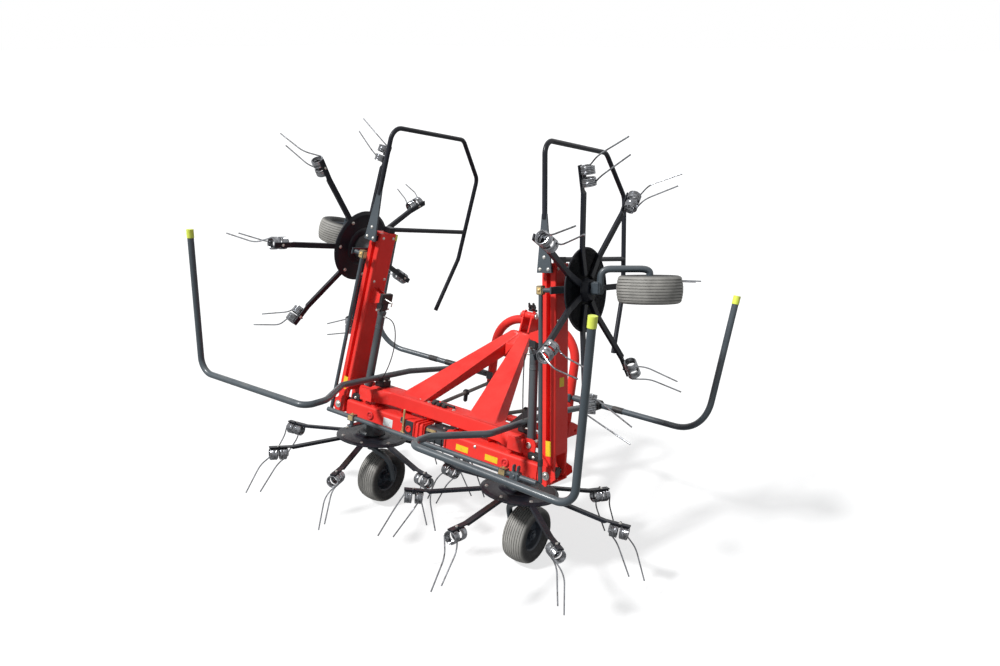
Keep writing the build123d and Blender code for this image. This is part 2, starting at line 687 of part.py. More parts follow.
# ---- steering rod across the back, with a pin block at each inner column
LEVER_N = DOME_LIFT + DOME_H + 3
with BuildPart() as steering_rod:
    with BuildSketch(flank(-HINGE_X, ROD_Y, STEER_N)):
        Circle(STEER_R)
    extrude(amount=2 * HINGE_X)
    for side in (1, -1):
        with BuildSketch(flank(side * HUB_X - 28, ROD_Y, STEER_N)):
            Rectangle(46, 46)
        extrude(amount=56)
        with BuildSketch(deck(side * HUB_X, ROD_Y, LEVER_N - 2)):
            Circle(STEER_PIN_R)
        extrude(amount=STEER_N - LEVER_N)
        with BuildSketch(deck(side * HUB_X, ROD_Y, LEVER_N + LEVER_T + SEAT_FIT)):
            Circle(SEAT_R)
        extrude(amount=STEER_N - LEVER_N - LEVER_T)
keep(steering_rod.part, "steering_rod")

with BuildPart() as tie_rod_right:
    with BuildSketch(arm_cross(-30, TIE_Y, 0)):
        Circle(TIE_R)
    extrude(amount=ARM_U + 30)
    with BuildSketch(arm_cross(ARM_U - 26, TIE_Y, 0)):
        Rectangle(40, 40)
    extrude(amount=52)
    with BuildSketch(arm_deck(ARM_U, TIE_Y, HUB_V + LEVER_N - 2)):
        Circle(STEER_PIN_R)
    extrude(amount=-HUB_V - LEVER_N)
    with BuildSketch(arm_deck(ARM_U, TIE_Y, HUB_V + LEVER_N + LEVER_T + SEAT_FIT)):
        Circle(SEAT_R)
    extrude(amount=-HUB_V - LEVER_N - LEVER_T)
keep(tie_rod_right.part, "tie_rod_right")
keep(mirrored(tie_rod_right.part), "tie_rod_left")

# ---- folding arm
with BuildPart() as arm_right:
    with BuildSketch(arm_cross(ARM_ROOT, 0, 0)):
        with Locations((ARM_REAR + ARM_D / 2, 0)):
            RectangleRounded(ARM_D, ARM_W, 10)
        with Locations((ARM_REAR + GROOVE_D / 2 - 1, 0)):
            Rectangle(GROOVE_D + 2, GROOVE_W, mode=Mode.SUBTRACT)
    extrude(amount=ARM_END - ARM_ROOT)
    for y0 in (ARM_REAR, ARM_FRONT - FORK_T):
        with BuildSketch(arm_rear(0, y0 + FORK_T, 0)):
            with BuildLine():
                l1 = Line((ARM_ROOT + 10, ARM_W / 2 - 4), (0, PIN_R + 18))
                l2 = ThreePointArc(l1 @ 1, (-PIN_R - 18, 0), (0, -PIN_R - 18))
                Polyline(l2 @ 1, (ARM_ROOT + 10, -ARM_W / 2 + 4), l1 @ 0)
            make_face()
            Circle(PIN_R + PIN_FIT, mode=Mode.SUBTRACT)
        extrude(amount=FORK_T)
    pin = ARM.to_local_coords(at(ROD_PIN_X, 0, ROD_PIN_N))
    for y0 in (CYL_Y - EYE_W / 2 - EAR_GAP - 12, CYL_Y + EYE_W / 2 + EAR_GAP):
        with BuildSketch(arm_rear(0, y0 + 12, 0)):
            with BuildLine():
                l1 = Line((pin.X - 60, ARM_W / 2 - 3), (pin.X - EYE_R, pin.Z))
                l2 = ThreePointArc(l1 @ 1, (pin.X, pin.Z + EYE_R), (pin.X + EYE_R, pin.Z))
                Polyline(l2 @ 1, (pin.X + 60, ARM_W / 2 - 3), l1 @ 0)
            make_face()
        extrude(amount=12)
keep(arm_right.part, "arm_right")
keep(mirrored(arm_right.part), "arm_left")

# ---- folding cylinder, barrel on the beam and rod eye at the arm
lean = Vector(ROD_PIN_X - CYL_X, 0, ROD_PIN_N - CYL_N)
span = lean.length
axis_dir = at(ROD_PIN_X, CYL_Y, ROD_PIN_N) - at(CYL_X, CYL_Y, CYL_N)
foot = at(CYL_X, CYL_Y, CYL_N)
head = at(ROD_PIN_X, CYL_Y, ROD_PIN_N)
with BuildPart() as barrel:
    with BuildSketch(Plane(origin=foot, z_dir=axis_dir).offset(EYE_R + 8)):
        Circle(CYL_R)
        Circle(ROD_R + 0.1, mode=Mode.SUBTRACT)
    extrude(amount=CYL_BODY)
    with BuildSketch(Plane(origin=foot, z_dir=axis_dir).offset(EYE_R + 8)):
        Circle(CYL_R)
    extrude(amount=20)
    with BuildSketch(Plane(origin=foot, z_dir=axis_dir).offset(EYE_R - 6)):
        Circle(EYE_W / 2)
    extrude(amount=16)
    with BuildSketch(rear(CYL_X, CYL_Y + EYE_W / 2, CYL_N)):
        Circle(EYE_R)
        Circle(CYL_PIN_R + PIN_FIT, mode=Mode.SUBTRACT)
    extrude(amount=EYE_W)
keep(barrel.part, "cylinder_barrel_right")
keep(mirrored(barrel.part), "cylinder_barrel_left")
with BuildPart() as piston:
    with BuildSketch(Plane(origin=foot, z_dir=axis_dir).offset(EYE_R + 60)):
        Circle(ROD_R)
    extrude(amount=span - 2 * EYE_R - 56)
    with BuildSketch(rear(ROD_PIN_X, CYL_Y + EYE_W / 2, ROD_PIN_N)):
        Circle(EYE_R)
    extrude(amount=EYE_W)
keep(piston.part, "cylinder_rod_right")
keep(mirrored(piston.part), "cylinder_rod_left")

with BuildPart() as pivot_pins:
    for x, n, low, high, radius in (
        (HINGE_X, HINGE_N, CHEEK_REAR - 8, ARM_REAR + FORK_T, PIN_R),
        (HINGE_X, HINGE_N, ARM_FRONT - FORK_T, ARM_FRONT + EAR_GAP + EAR_T + 8, PIN_R),
        (CYL_X, CYL_N, CHEEK_REAR - 6, ARM_FRONT + EAR_GAP + EAR_T + 6, CYL_PIN_R),
        (CYL_X, CYL_N, CHEEK_REAR + EAR_T, CYL_Y - EYE_W / 2 - EAR_GAP, EYE_R - 4),
        (CYL_X, CYL_N, CYL_Y + EYE_W / 2 + EAR_GAP, ARM_FRONT + EAR_GAP, EYE_R - 4),
    ):
        with BuildSketch(rear(x, high, n)):
            Circle(radius)
        extrude(amount=high - low)
    mirror(about=Plane.YZ)
keep(pivot_pins.part, "pivot_pins")

# ---- guards
with BuildPart() as rear_guards:
    with BuildLine() as path:
        FilletPolyline(
            at(REAR_RUN_X, REAR_END_Y, FRONT_ROOT_N + 10), at(REAR_RUN_X, REAR_BEND_Y, REAR_RUN_N),
            at(REAR_RUN_X, REAR_SWAY_Y, REAR_RUN_N - REAR_DIP),
            at(REAR_IN, REAR_Y + 160, REAR_RUN_N - REAR_DIP - 8), at(REAR_IN, REAR_Y - 25, REAR_N + 30),
            at(REAR_X, REAR_Y, REAR_N), at(REAR_X + 28, REAR_CAP_Y, REAR_CAP_N), radius=[400, 110, 150, 75, 110],
        )
    with BuildSketch(Plane(origin=path.line @ 0, z_dir=path.line % 0)):
        Circle(GUARD_R)
    sweep(path=path.line)
    mirror(about=Plane.YZ)
keep(rear_guards.part, "rear_guards")

with BuildPart() as front_guards:
    with BuildLine() as path:
        FilletPolyline(
            at(ARCH_X, ARCH_Y, FRONT_ROOT_N), at(FRONT_X - FRONT_CUT, FRONT_Y + FRONT_CUT, FRONT_N),
            at(FRONT_X, FRONT_Y, FRONT_N), at(FRONT_X + 17, FRONT_CAP_Y, FRONT_CAP_N), radius=[50, 50],
        )
    with BuildSketch(Plane(origin=path.line @ 0, z_dir=path.line % 0)):
        Circle(GUARD_R)
    sweep(path=path.line)
    with BuildSketch(rear(ARCH_X, ARCH_Y, FRONT_ROOT_N)):
        Rectangle(52, 64)
    extrude(amount=ARCH_R + 10)
    with BuildSketch(deck(ARCH_X, ARCH_Y, FRONT_ROOT_N - 60)):
        Circle(ARCH_R)
    extrude(amount=120, mode=Mode.SUBTRACT)
    with BuildSketch(flank(0, ARCH_Y, FRONT_ROOT_N)):
        Circle(GUARD_R + 20)
    extrude(amount=ARCH_X, mode=Mode.SUBTRACT)
    mirror(about=Plane.YZ)
keep(front_guards.part, "front_guards")

with BuildPart() as guard_caps:
    for low, high in (
        (at(REAR_X, REAR_Y, REAR_N), at(REAR_X + 28, REAR_CAP_Y, REAR_CAP_N)),
        (at(FRONT_X, FRONT_Y, FRONT_N), at(FRONT_X + 17, FRONT_CAP_Y, FRONT_CAP_N)),
    ):
        with BuildSketch(Plane(origin=high, z_dir=high - low)):
            Circle(GUARD_R + CAP_WALL)
        extrude(amount=12)
        with BuildSketch(Plane(origin=high, z_dir=low - high)):
            Circle(GUARD_R + CAP_WALL)
            Circle(GUARD_R, mode=Mode.SUBTRACT)
        extrude(amount=CAP_L)
    mirror(about=Plane.YZ)
keep(guard_caps.part, "guard_caps")

with BuildPart() as guard_clamps:
    with BuildSketch(rear(0, CLAMP_Y + CLAMP_D / 2, 0)):
        with BuildLine():
            Polyline(
                (REAR_RUN_X - CLAMP_W / 2, BEAM_TOP), (REAR_RUN_X + CLAMP_W / 2, BEAM_TOP),
                (REAR_RUN_X + CLAMP_W / 2, REAR_RUN_N + CLAMP_LIP),
                (REAR_RUN_X - CLAMP_W / 2, REAR_RUN_N + CLAMP_LIP), close=True,
            )
        make_face()
    extrude(amount=CLAMP_D)
    with BuildSketch(rear(0, BEAM_REAR + BEAM_D, 0)):
        with BuildLine():
            Polyline(
                (REAR_RUN_X - FIN_W, BEAM_TOP), (REAR_RUN_X, BEAM_TOP), (REAR_RUN_X, REAR_RUN_N + 20),
                (REAR_RUN_X - 34, REAR_RUN_N + 66), close=True,
            )
        make_face()
    extrude(amount=FIN_T)
    with BuildLine() as path:
        Line(at(REAR_RUN_X, REAR_BEND_Y, REAR_RUN_N), at(REAR_RUN_X, REAR_SWAY_Y, REAR_RUN_N - REAR_DIP))
    with BuildSketch(Plane(origin=path.line @ 0, z_dir=path.line % 0)):
        Circle(GUARD_R)
    sweep(path=path.line, mode=Mode.SUBTRACT)
    with BuildSketch(rear(REAR_RUN_X, ARCH_Y + 10, FRONT_ROOT_N + 9)):
        Rectangle(BLOCK_W, BLOCK_W)
    extrude(amount=BLOCK_D)
    for end, tip in (
        (at(REAR_RUN_X, REAR_BEND_Y, REAR_RUN_N), at(REAR_RUN_X, REAR_END_Y, FRONT_ROOT_N + 10)),
        (at(ARCH_X, ARCH_Y, FRONT_ROOT_N), at(FRONT_X - FRONT_CUT, FRONT_Y + FRONT_CUT, FRONT_N)),
    ):
        with BuildLine() as path:
            Line(end, tip)
        with BuildSketch(Plane(origin=path.line @ 0, z_dir=path.line % 0)):
            Circle(GUARD_R)
        sweep(path=path.line, mode=Mode.SUBTRACT)
    mirror(about=Plane.YZ)
keep(guard_clamps.part, "guard_clamps")

# ---- hoop guards at the end of each folding arm
with BuildPart() as hoop_right:
    with BuildLine() as path:
        FilletPolyline(
            arm_at(HOOP_BASE, HOOP_REAR, 0), arm_at(HOOP_TOP, HOOP_REAR, 0),
            arm_at(HOOP_TOP, HOOP_FRONT - HOOP_CUT_Y, 0), arm_at(HOOP_TOP - HOOP_CUT_U, HOOP_FRONT, 0),
            arm_at(HOOP_KNEE, HOOP_FRONT, 0), arm_at(HOOP_END, HOOP_END_Y, 0), radius=HOOP_BEND,
        )
    with BuildSketch(Plane(origin=path.line @ 0, z_dir=path.line % 0)):
        Circle(HOOP_R)
    sweep(path=path.line)
    with BuildSketch(arm_rear(0, HOOP_REAR + HOOP_R * 0.3, 0)):
        with BuildLine():
            Polyline(
                (ARM_END - 60, -HOOP_PLATE), (HOOP_BASE + 30, -HOOP_R), (HOOP_BASE + 30, HOOP_R), (ARM_END - 60, HOOP_PLATE),
                close=True,
            )
        make_face()
    extrude(amount=HOOP_R * 0.6)
    with BuildSketch(arm_rear(ARM_END - 40, ARM_REAR, 0)):
        Rectangle(40, 60)
    extrude(amount=-HOOP_REAR + ARM_REAR)
    with BuildSketch(arm_rear(ARM_END + 22, ARM_FRONT - 30, 0)):
        Circle(17)
    extrude(amount=-(HOOP_FRONT - ARM_FRONT + 30))
    with BuildSketch(arm_cross(ARM_END, ARM_FRONT - 30, 0)):
        Rectangle(60, 60)
    extrude(amount=40)
keep(hoop_right.part, "hoop_right")
keep(mirrored(hoop_right.part), "hoop_left")

# ---- parking stand, a leg in a sleeve on the headstock's cross tube
STAND_LOW = (STAND_Y * s - HUB_Z) / c
with BuildPart() as stand:
    with BuildSketch(deck(STAND_X, STAND_Y, STAND_LOW + 6)):
        Rectangle(STAND_W, STAND_W)
        Rectangle(STAND_W - 12, STAND_W - 12, mode=Mode.SUBTRACT)
    extrude(amount=STAND_TOP - STAND_LOW)
    foot_centre = at(STAND_X, STAND_Y, STAND_LOW)
    with BuildSketch(Plane(origin=(foot_centre.X, foot_centre.Y, 0))):
        RectangleRounded(FOOT_W, FOOT_L, 12)
    extrude(amount=FOOT_T)
keep(stand.part, "parking_stand")

with BuildPart() as joint_boots:
    with BuildSketch(flank(CASE_X, BOOT_Y, HINGE_N)):
        Circle(BOOT_R - 8)
    extrude(amount=HINGE_X - CASE_X)
    with Locations(deck(HINGE_X, BOOT_Y, HINGE_N)):
        Sphere(BOOT_R - 4)
    mirror(about=Plane.YZ)
keep(joint_boots.part, "joint_boots")

box = Compound(children=written).bounding_box()
print("box", box.min, box.max)
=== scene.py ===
import math
from functools import partial

import bmesh
import bpy
from mathutils import Matrix, Vector


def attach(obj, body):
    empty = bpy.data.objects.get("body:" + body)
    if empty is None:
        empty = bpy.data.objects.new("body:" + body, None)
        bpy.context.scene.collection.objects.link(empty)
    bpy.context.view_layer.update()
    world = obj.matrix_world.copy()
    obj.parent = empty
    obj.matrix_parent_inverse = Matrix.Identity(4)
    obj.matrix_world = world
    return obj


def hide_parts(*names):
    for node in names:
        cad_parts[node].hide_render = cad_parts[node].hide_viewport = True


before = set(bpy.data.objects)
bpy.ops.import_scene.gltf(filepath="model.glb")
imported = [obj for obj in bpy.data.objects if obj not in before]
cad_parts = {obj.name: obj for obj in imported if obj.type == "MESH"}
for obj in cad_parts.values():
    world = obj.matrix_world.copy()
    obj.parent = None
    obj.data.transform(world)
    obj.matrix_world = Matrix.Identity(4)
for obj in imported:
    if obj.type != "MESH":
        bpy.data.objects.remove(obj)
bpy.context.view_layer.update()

# The drive housing under the beam and the two folding arms: welded box section
# in red enamel, with a little dust on the flats and the edges slightly rubbed.
PITCH = math.radians(11.86)
HUB_LINE = Vector((0.0, -0.18415, 0.60003))
ACROSS = Vector((1.0, 0.0, 0.0))
AHEAD = Vector((0.0, math.cos(PITCH), -math.sin(PITCH)))
SQUARE = Vector((0.0, math.sin(PITCH), math.cos(PITCH)))
DUST = (0.62, 0.55, 0.45)


def spot(x, y, n):
    """A place on the pitched machine: across, ahead and square to the deck."""
    return HUB_LINE + ACROSS * x + AHEAD * y + SQUARE * n


class Wire:
    """A shader socket that takes part in sums."""

    def __init__(self, finish, socket):
        self.finish, self.socket = finish, socket

    def math(self, operation, *values):
        return self.finish.node("ShaderNodeMath", {"operation": operation}, dict(enumerate(values)))

    def __add__(self, other):
        return self.math("ADD", self, other)

    __radd__ = __add__

    def __mul__(self, other):
        return self.math("MULTIPLY", self, other)

    __rmul__ = __mul__

    def spread(self, low, high, start=0.0, end=1.0):
        """Stretch the values from low to high onto start to end, held at both ends."""
        sockets = {"Value": self, "From Min": low, "From Max": high, "To Min": start, "To Max": end}
        return self.finish.node("ShaderNodeMapRange", {"clamp": True}, sockets)


class Finish:
    """A procedural material; the plain colour and roughness show where nodes aren't read."""

    def __init__(self, name, colour, roughness, metallic=0.0, coat=0.0):
        self.material = bpy.data.materials.new(name)
        self.material.use_nodes = True
        self.tree = self.material.node_tree
        self.shader = self.tree.nodes["Principled BSDF"]
        self.put(colour, "Base Color")
        self.put(roughness, "Roughness")
        self.put(metallic, "Metallic")
        self.put(coat, "Coat Weight")
        self.place = self.node("ShaderNodeTexCoord", out="Object")
        self.edge = None

    def plug(self, node, name, value):
        socket = node.inputs[name]
        if isinstance(value, Wire):
            self.tree.links.new(value.socket, socket)
        elif isinstance(value, tuple) and socket.type == "RGBA":
            socket.default_value = (*value, 1.0)
        else:
            socket.default_value = value

    def put(self, value, name):
        self.plug(self.shader, name, value)

    def node(self, kind, settings=None, sockets=None, out=0):
        made = self.tree.nodes.new(kind)
        for name, value in (settings or {}).items():
            setattr(made, name, value)
        for name, value in (sockets or {}).items():
            self.plug(made, name, value)
        return Wire(self, made.outputs[out])

    def noise(self, scale, detail=3.0):
        sockets = {"Vector": self.place, "Scale": scale, "Detail": detail, "Roughness": 0.5}
        return self.node("ShaderNodeTexNoise", {}, sockets)

    def blend(self, mask, base, over):
        """Colour base where the mask is 0, colour over where it is 1."""
        return self.node("ShaderNodeMix", {"data_type": "RGBA"}, {0: mask, 6: base, 7: over}, out=2)

    def mottle(self, scale, low, high, base, over, detail=4.0):
        """Base colour in cloudy patches of two tones."""
        self.put(self.blend(self.noise(scale, detail).spread(low, high), base, over), "Base Color")

    def uneven_gloss(self, scale, smooth, rough, detail=3.0, low=0.3, high=0.8):
        """Roughness that drifts between two values."""
        self.put(self.noise(scale, detail).spread(low, high, smooth, rough), "Roughness")

    def facing(self, one, other):
        """How nearly two directions agree."""
        settings = {"operation": "DOT_PRODUCT"}
        return self.node("ShaderNodeVectorMath", settings, {0: one, 1: other}, out="Value")

    def facing_up(self):
        return self.facing(self.node("ShaderNodeNewGeometry", out="Normal"), (0.0, 0.0, 1.0))

    def rounded(self, radius):
        """Soft corners for the shading, and a mask that is 1 along them."""
        corner = self.node("ShaderNodeBevel", {"samples": 4}, {"Radius": radius})
        flat = self.node("ShaderNodeNewGeometry", out="True Normal")
        self.edge = self.facing(corner, flat).spread(0.985, 0.93)
        return corner

    def relief(self, height, strength, distance, under=None):
        sockets = {"Height": height, "Strength": strength, "Distance": distance}
        if under is not None:
            sockets["Normal"] = under
        self.put(self.node("ShaderNodeBump", {}, sockets), "Normal")


def enamel(name, colour, shade, roughness, dust=0.25, wear=0.5, bare=(0.35, 0.34, 0.33),
           corner=0.004, coat=0.15, gloss=0.4):
    """Sprayed enamel: flow in the gloss, patchy tone, dust on the flats, rubbed corners."""
    paint = Finish(name, colour, roughness, coat=coat)
    paint.shader.inputs["Coat Roughness"].default_value = 0.18
    paint.shader.inputs["Specular IOR Level"].default_value = gloss
    soft = paint.rounded(corner)
    patch = paint.noise(3.5, 4.0).spread(0.35, 0.7)
    fine = paint.noise(60.0).spread(0.45, 0.7)
    tone = paint.blend(patch, colour, shade)
    settled = paint.facing_up().spread(0.25, 1.0) * paint.noise(9.0, 5.0).spread(0.4, 0.75) * dust
    dusty = paint.blend(settled, tone, DUST)
    rubbed = paint.edge * paint.noise(38.0, 4.0).spread(0.55, 0.66) * wear
    paint.put(paint.blend(rubbed, dusty, bare), "Base Color")
    paint.put(roughness + 0.12 * fine + 0.35 * settled + 0.15 * patch, "Roughness")
    flow = paint.noise(240.0, 2.0) * 0.4 + paint.noise(16.0, 2.0) * 0.6
    paint.relief(flow, 0.25, 0.0006, soft)
    return paint.material


def dress(material, *names):
    """Give CAD nodes a finish."""
    for name in names:
        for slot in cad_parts[name].material_slots:
            slot.material = material


red = enamel("red_enamel", (0.86, 0.046, 0.036), (0.76, 0.032, 0.026), 0.36, dust=0.03, wear=0.12,
             coat=0.05, gloss=0.2)
dress(red, "drive_housing", "arm_right", "arm_left")

# Fittings on the beam: zinc-plated bolts along its top, on its ends and on the
# housing's rear wall, and dark pipe unions with short lengths of pipe.
DECK = (ACROSS, AHEAD, SQUARE)
SMOOTH = math.radians(35.0)
POINT = 1e-6
BEAM_TOP = 0.387
BEAM_END = 0.868
HOUSING_WALL = -0.115
BOLT = 0.011
SMALL_BOLT = 0.009
TOP_BOLTS = ((-0.245, 0.0), (-0.17, 0.004), (-0.1, 0.0), (-0.03, 0.004), (0.06, 0.0))
END_BOLTS = ((-0.02, 0.2), (0.05, 0.2))
WALL_BOLTS = ((-0.31, 0.225), (0.1, 0.225), (0.36, 0.225))
PIPE_RUNS = (
    ((-0.15, 0.03, 0.4), (-0.105, 0.03, 0.407)),
    ((-0.08, 0.03, 0.405), (0.045, 0.032, 0.399)),
)
PIPE_R = 0.009
UNIONS = ((-0.113, -0.01), (-0.068, -0.008), (-0.018, -0.01))
UNION_SIZE = (0.035, 0.03, 0.024)


def add_object(name, data):
    made = bpy.data.objects.new(name, data)
    bpy.context.scene.collection.objects.link(made)
    return made


def as_object(name, mesh):
    data = bpy.data.meshes.new(name)
    mesh.to_mesh(data)
    mesh.free()
    return add_object(name, data)


def piece(name, mesh, material, body, smooth=SMOOTH):
    """Close a bmesh as one object, finish it and let it ride on its body."""
    bmesh.ops.recalc_face_normals(mesh, faces=mesh.faces[:])
    made = as_object(name, mesh)
    for face in made.data.polygons:
        face.use_smooth = True
    made.data.set_sharp_from_angle(angle=smooth)
    made.data.materials.append(material)
    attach(made, body)
    return made


def around(side, other, turn):
    """The direction at an angle between two axes."""
    return side * math.cos(turn) + other * math.sin(turn)


def turned(mesh, foot, axis, profile, sides=20):
    """A turned shape: radius and height pairs round an axis."""
    axis = axis.normalized()
    side = axis.orthogonal().normalized()
    other = axis.cross(side)
    turns = [2 * math.pi * k / sides for k in range(sides)]
    rings = []
    for radius, height in profile:
        middle = foot + axis * height
        if radius < POINT:
            rings.append([mesh.verts.new(middle)] * sides)
        else:
            rings.append([mesh.verts.new(middle + around(side, other, a) * radius) for a in turns])
    for low, high in zip(rings, rings[1:]):
        for k in range(sides):
            corners = [low[k], low[(k + 1) % sides], high[(k + 1) % sides], high[k]]
            single = [v for i, v in enumerate(corners) if v not in corners[:i]]
            if len(single) > 2:
                mesh.faces.new(single)
    for ring, (radius, _) in ((rings[0], profile[0]), (rings[-1], profile[-1])):
        if radius > POINT:
            mesh.faces.new(ring)


def rod(mesh, start, end, radius, sides=16, lip=0.15):
    """A round bar with its ends broken."""
    length = (end - start).length
    cut = radius * lip
    profile = ((radius - cut, 0), (radius, cut), (radius, length - cut), (radius - cut, length))
    turned(mesh, start, end - start, profile, sides)


def bolt(mesh, foot, axis, size):
    """A hexagon bolt: washer, head with its corners turned off, and a slight dome."""
    washer = ((size * 1.25, 0), (size * 1.25, size * 0.18), (size * 0.7, size * 0.2))
    head = ((size, 0), (size, size * 0.55), (size * 0.86, size * 0.66), (size * 0.4, size * 0.72))
    turned(mesh, foot, axis, washer, 18)
    turned(mesh, foot + axis.normalized() * size * 0.16, axis, head, 6)


def block(mesh, middle, sizes, axes, soft=0.12):
    """A bar or plate with all its edges broken, on three given axes."""
    shape = bmesh.ops.create_cube(mesh, size=1.0)
    turn = Matrix([[axes[c][r] * sizes[c] for c in range(3)] for r in range(3)]).to_4x4()
    turn.translation = middle
    bmesh.ops.transform(mesh, matrix=turn, verts=shape["verts"])
    edges = list({edge for vert in shape["verts"] for edge in vert.link_edges})
    width = min(sizes) * soft
    bmesh.ops.bevel(mesh, geom=edges, offset=width, segments=2, affect="EDGES", clamp_overlap=True)


zinc = Finish("bright_zinc", (0.62, 0.61, 0.58), 0.33, metallic=0.9)
zinc.uneven_gloss(90.0, 0.25, 0.5, detail=4.0)
zinc.mottle(25.0, 0.45, 0.75, (0.66, 0.65, 0.62), (0.42, 0.40, 0.36), detail=3.0)
zinc = zinc.material
dark_plastic = enamel("black_plastic", (0.011, 0.011, 0.013), (0.02, 0.02, 0.022), 0.42, dust=0.1,
                      wear=0.0, coat=0.0)
fittings = bmesh.new()
for x, y in TOP_BOLTS:
    bolt(fittings, spot(x, y, BEAM_TOP), SQUARE, BOLT)
for side in (-1, 1):
    for y, n in END_BOLTS:
        bolt(fittings, spot(side * BEAM_END, y, n), ACROSS * side, BOLT)
for x, n in WALL_BOLTS:
    bolt(fittings, spot(x, HOUSING_WALL, n), -AHEAD, SMALL_BOLT)
piece("beam_bolts", fittings, zinc, "centre")
pipes = bmesh.new()
for start, end in PIPE_RUNS:
    rod(pipes, spot(*start), spot(*end), PIPE_R)
for x, y in UNIONS:
    block(pipes, spot(x, y, BEAM_TOP + UNION_SIZE[2] / 2), UNION_SIZE, DECK, soft=0.2)
piece("beam_unions", pipes, dark_plastic, "centre")

# Filler caps on the drive housing: moulded red plastic with a raised rim and a
# recessed face, pushed into the rear wall over each rotor.
FILLER = (0.618, -0.114, 0.19)
FILLER_PROFILE = ((0.031, 0), (0.031, 0.008), (0.027, 0.012), (0.02, 0.012), (0.018, 0.007),
                  (0.009, 0.007), (0.007, 0.012), (0.0, 0.013))


def sided(side, place):
    """A place of the right half, or its mirror image on the left."""
    return spot(side * place[0], place[1], place[2])


red_plastic = enamel("red_plastic", (0.75, 0.03, 0.03), (0.6, 0.02, 0.02), 0.42, dust=0.15,
                     wear=0.0)
caps = bmesh.new()
for side in (-1, 1):
    turned(caps, sided(side, FILLER), -AHEAD, FILLER_PROFILE, 28)
piece("filler_caps", caps, red_plastic, "centre")

# Blank plates in the place of labels: printed film about a millimetre thick, one
# white and two yellow on the housing and two yellow on each folding arm.
HANDS = ((1, "right"), (-1, "left"))
FOLD = math.radians(98.5)
HINGE_X = 0.945
HINGE_N = 0.2
FILM_T = 0.0012
FILM_Y = -0.1155
FILM_N = 0.181
WHITE_X = -0.44
WHITE_SIZE = (0.09, FILM_T, 0.062)
YELLOW_XS = (0.254, 0.504)
YELLOW_SIZE = (0.105, FILM_T, 0.042)
ARM_LABELS = (
    # place along, ahead and up on the arm, then the sizes
    ((0.172, -0.1005, -0.002), (0.1, FILM_T, 0.04)),
    ((0.6, -0.02, -0.053), (0.06, 0.055, FILM_T)),
)


def film(name, colour):
    sheet = Finish(name, colour, 0.45)
    sheet.mottle(30.0, 0.55, 0.8, colour, tuple(c * 0.75 for c in colour))
    sheet.uneven_gloss(70.0, 0.35, 0.6)
    return sheet.material


def arm_axes(side):
    """Along the folded arm, ahead, and up off its working top."""
    along = ACROSS * math.cos(FOLD) * side + SQUARE * math.sin(FOLD)
    top = SQUARE * math.cos(FOLD) - ACROSS * math.sin(FOLD) * side
    return along, AHEAD, top


def arm_spot(side, u, y, v):
    """A place on a folded arm: along it from the hinge, ahead, and up off its top."""
    along, ahead, top = arm_axes(side)
    return spot(side * HINGE_X, 0, HINGE_N) + along * u + ahead * y + top * v


yellow_film = film("yellow_film", (0.85, 0.58, 0.02))
white_film = film("white_film", (0.74, 0.76, 0.76))
plate = bmesh.new()
block(plate, spot(WHITE_X, FILM_Y, FILM_N), WHITE_SIZE, DECK, soft=0.3)
piece("white_plate", plate, white_film, "centre")
plates = bmesh.new()
for x in YELLOW_XS:
    block(plates, spot(x, FILM_Y, FILM_N), YELLOW_SIZE, DECK, soft=0.3)
piece("housing_plates", plates, yellow_film, "centre")
for side, hand in HANDS:
    plates = bmesh.new()
    for place, sizes in ARM_LABELS:
        block(plates, arm_spot(side, *place), sizes, arm_axes(side), soft=0.3)
    piece("arm_plates_" + hand, plates, yellow_film, "arm_" + hand)

# The middle gearbox hangs between the two halves of the drive housing: grey iron
# casting, ribbed at the back, with red flanges, a breather and rings of studs.
SHAFT_Y = -0.015
SHAFT_N = 0.19
FLANGE_XS = (-0.185, -0.148, -0.108, 0.104)
FLANGE_N = 0.191
FLANGE_SIZE = (0.014, 0.218, 0.14)
SIGHT_GLASS = (-0.235, -0.116, SHAFT_N)
SIGHT_PROFILE = ((0.02, 0), (0.024, 0.001), (0.024, 0.008), (0.016, 0.009), (0.014, 0.003),
                 (0.0, 0.003))
BREATHER = (0.125, -0.09, 0.255)
BREATHER_PROFILE = ((0.02, 0), (0.026, 0.002), (0.026, 0.014), (0.02, 0.018), (0.0, 0.019))
BRACKETS = (
    # place, sizes, and how far the edges are broken
    ((-0.235, -0.1165, SHAFT_N), (0.075, 0.004, 0.118), 0.3),
    ((-0.3, -0.12, 0.245), (0.03, 0.012, 0.03), 0.2),
)
RIB_XS = (-0.06, 0.0, 0.06)
RIB_Y = -0.105
RIB_SIZE = (0.008, 0.012, 0.105)
STUDS = 6
STUD_START = 20
STUD_X = 0.094
STUD_RING = 0.058
STUD = 0.007
LID_BOLTS = ((-0.05, -0.07), (0.05, -0.07), (0.05, 0.04), (-0.05, 0.04))
LID_N = 0.262
LID_BOLT = 0.008
iron = enamel("grey_casting", (0.032, 0.037, 0.043), (0.022, 0.026, 0.031), 0.42, dust=0.08,
              wear=0.3, coat=0.05)
dress(iron, "centre_gearbox", "inner_gearboxes", "outer_gearbox_right", "outer_gearbox_left")
flanges = bmesh.new()
for x in FLANGE_XS:
    block(flanges, spot(x, SHAFT_Y, FLANGE_N), FLANGE_SIZE, DECK, soft=0.2)
turned(flanges, spot(*SIGHT_GLASS), -AHEAD, SIGHT_PROFILE, 24)
turned(flanges, spot(*BREATHER), SQUARE, BREATHER_PROFILE, 24)
piece("gearbox_flanges", flanges, red, "centre")
brackets = bmesh.new()
for place, sizes, soft in BRACKETS:
    block(brackets, spot(*place), sizes, DECK, soft)
for x in RIB_XS:
    block(brackets, spot(x, RIB_Y, SHAFT_N), RIB_SIZE, DECK, soft=0.3)
piece("gearbox_brackets", brackets, iron, "centre")
studs = bmesh.new()
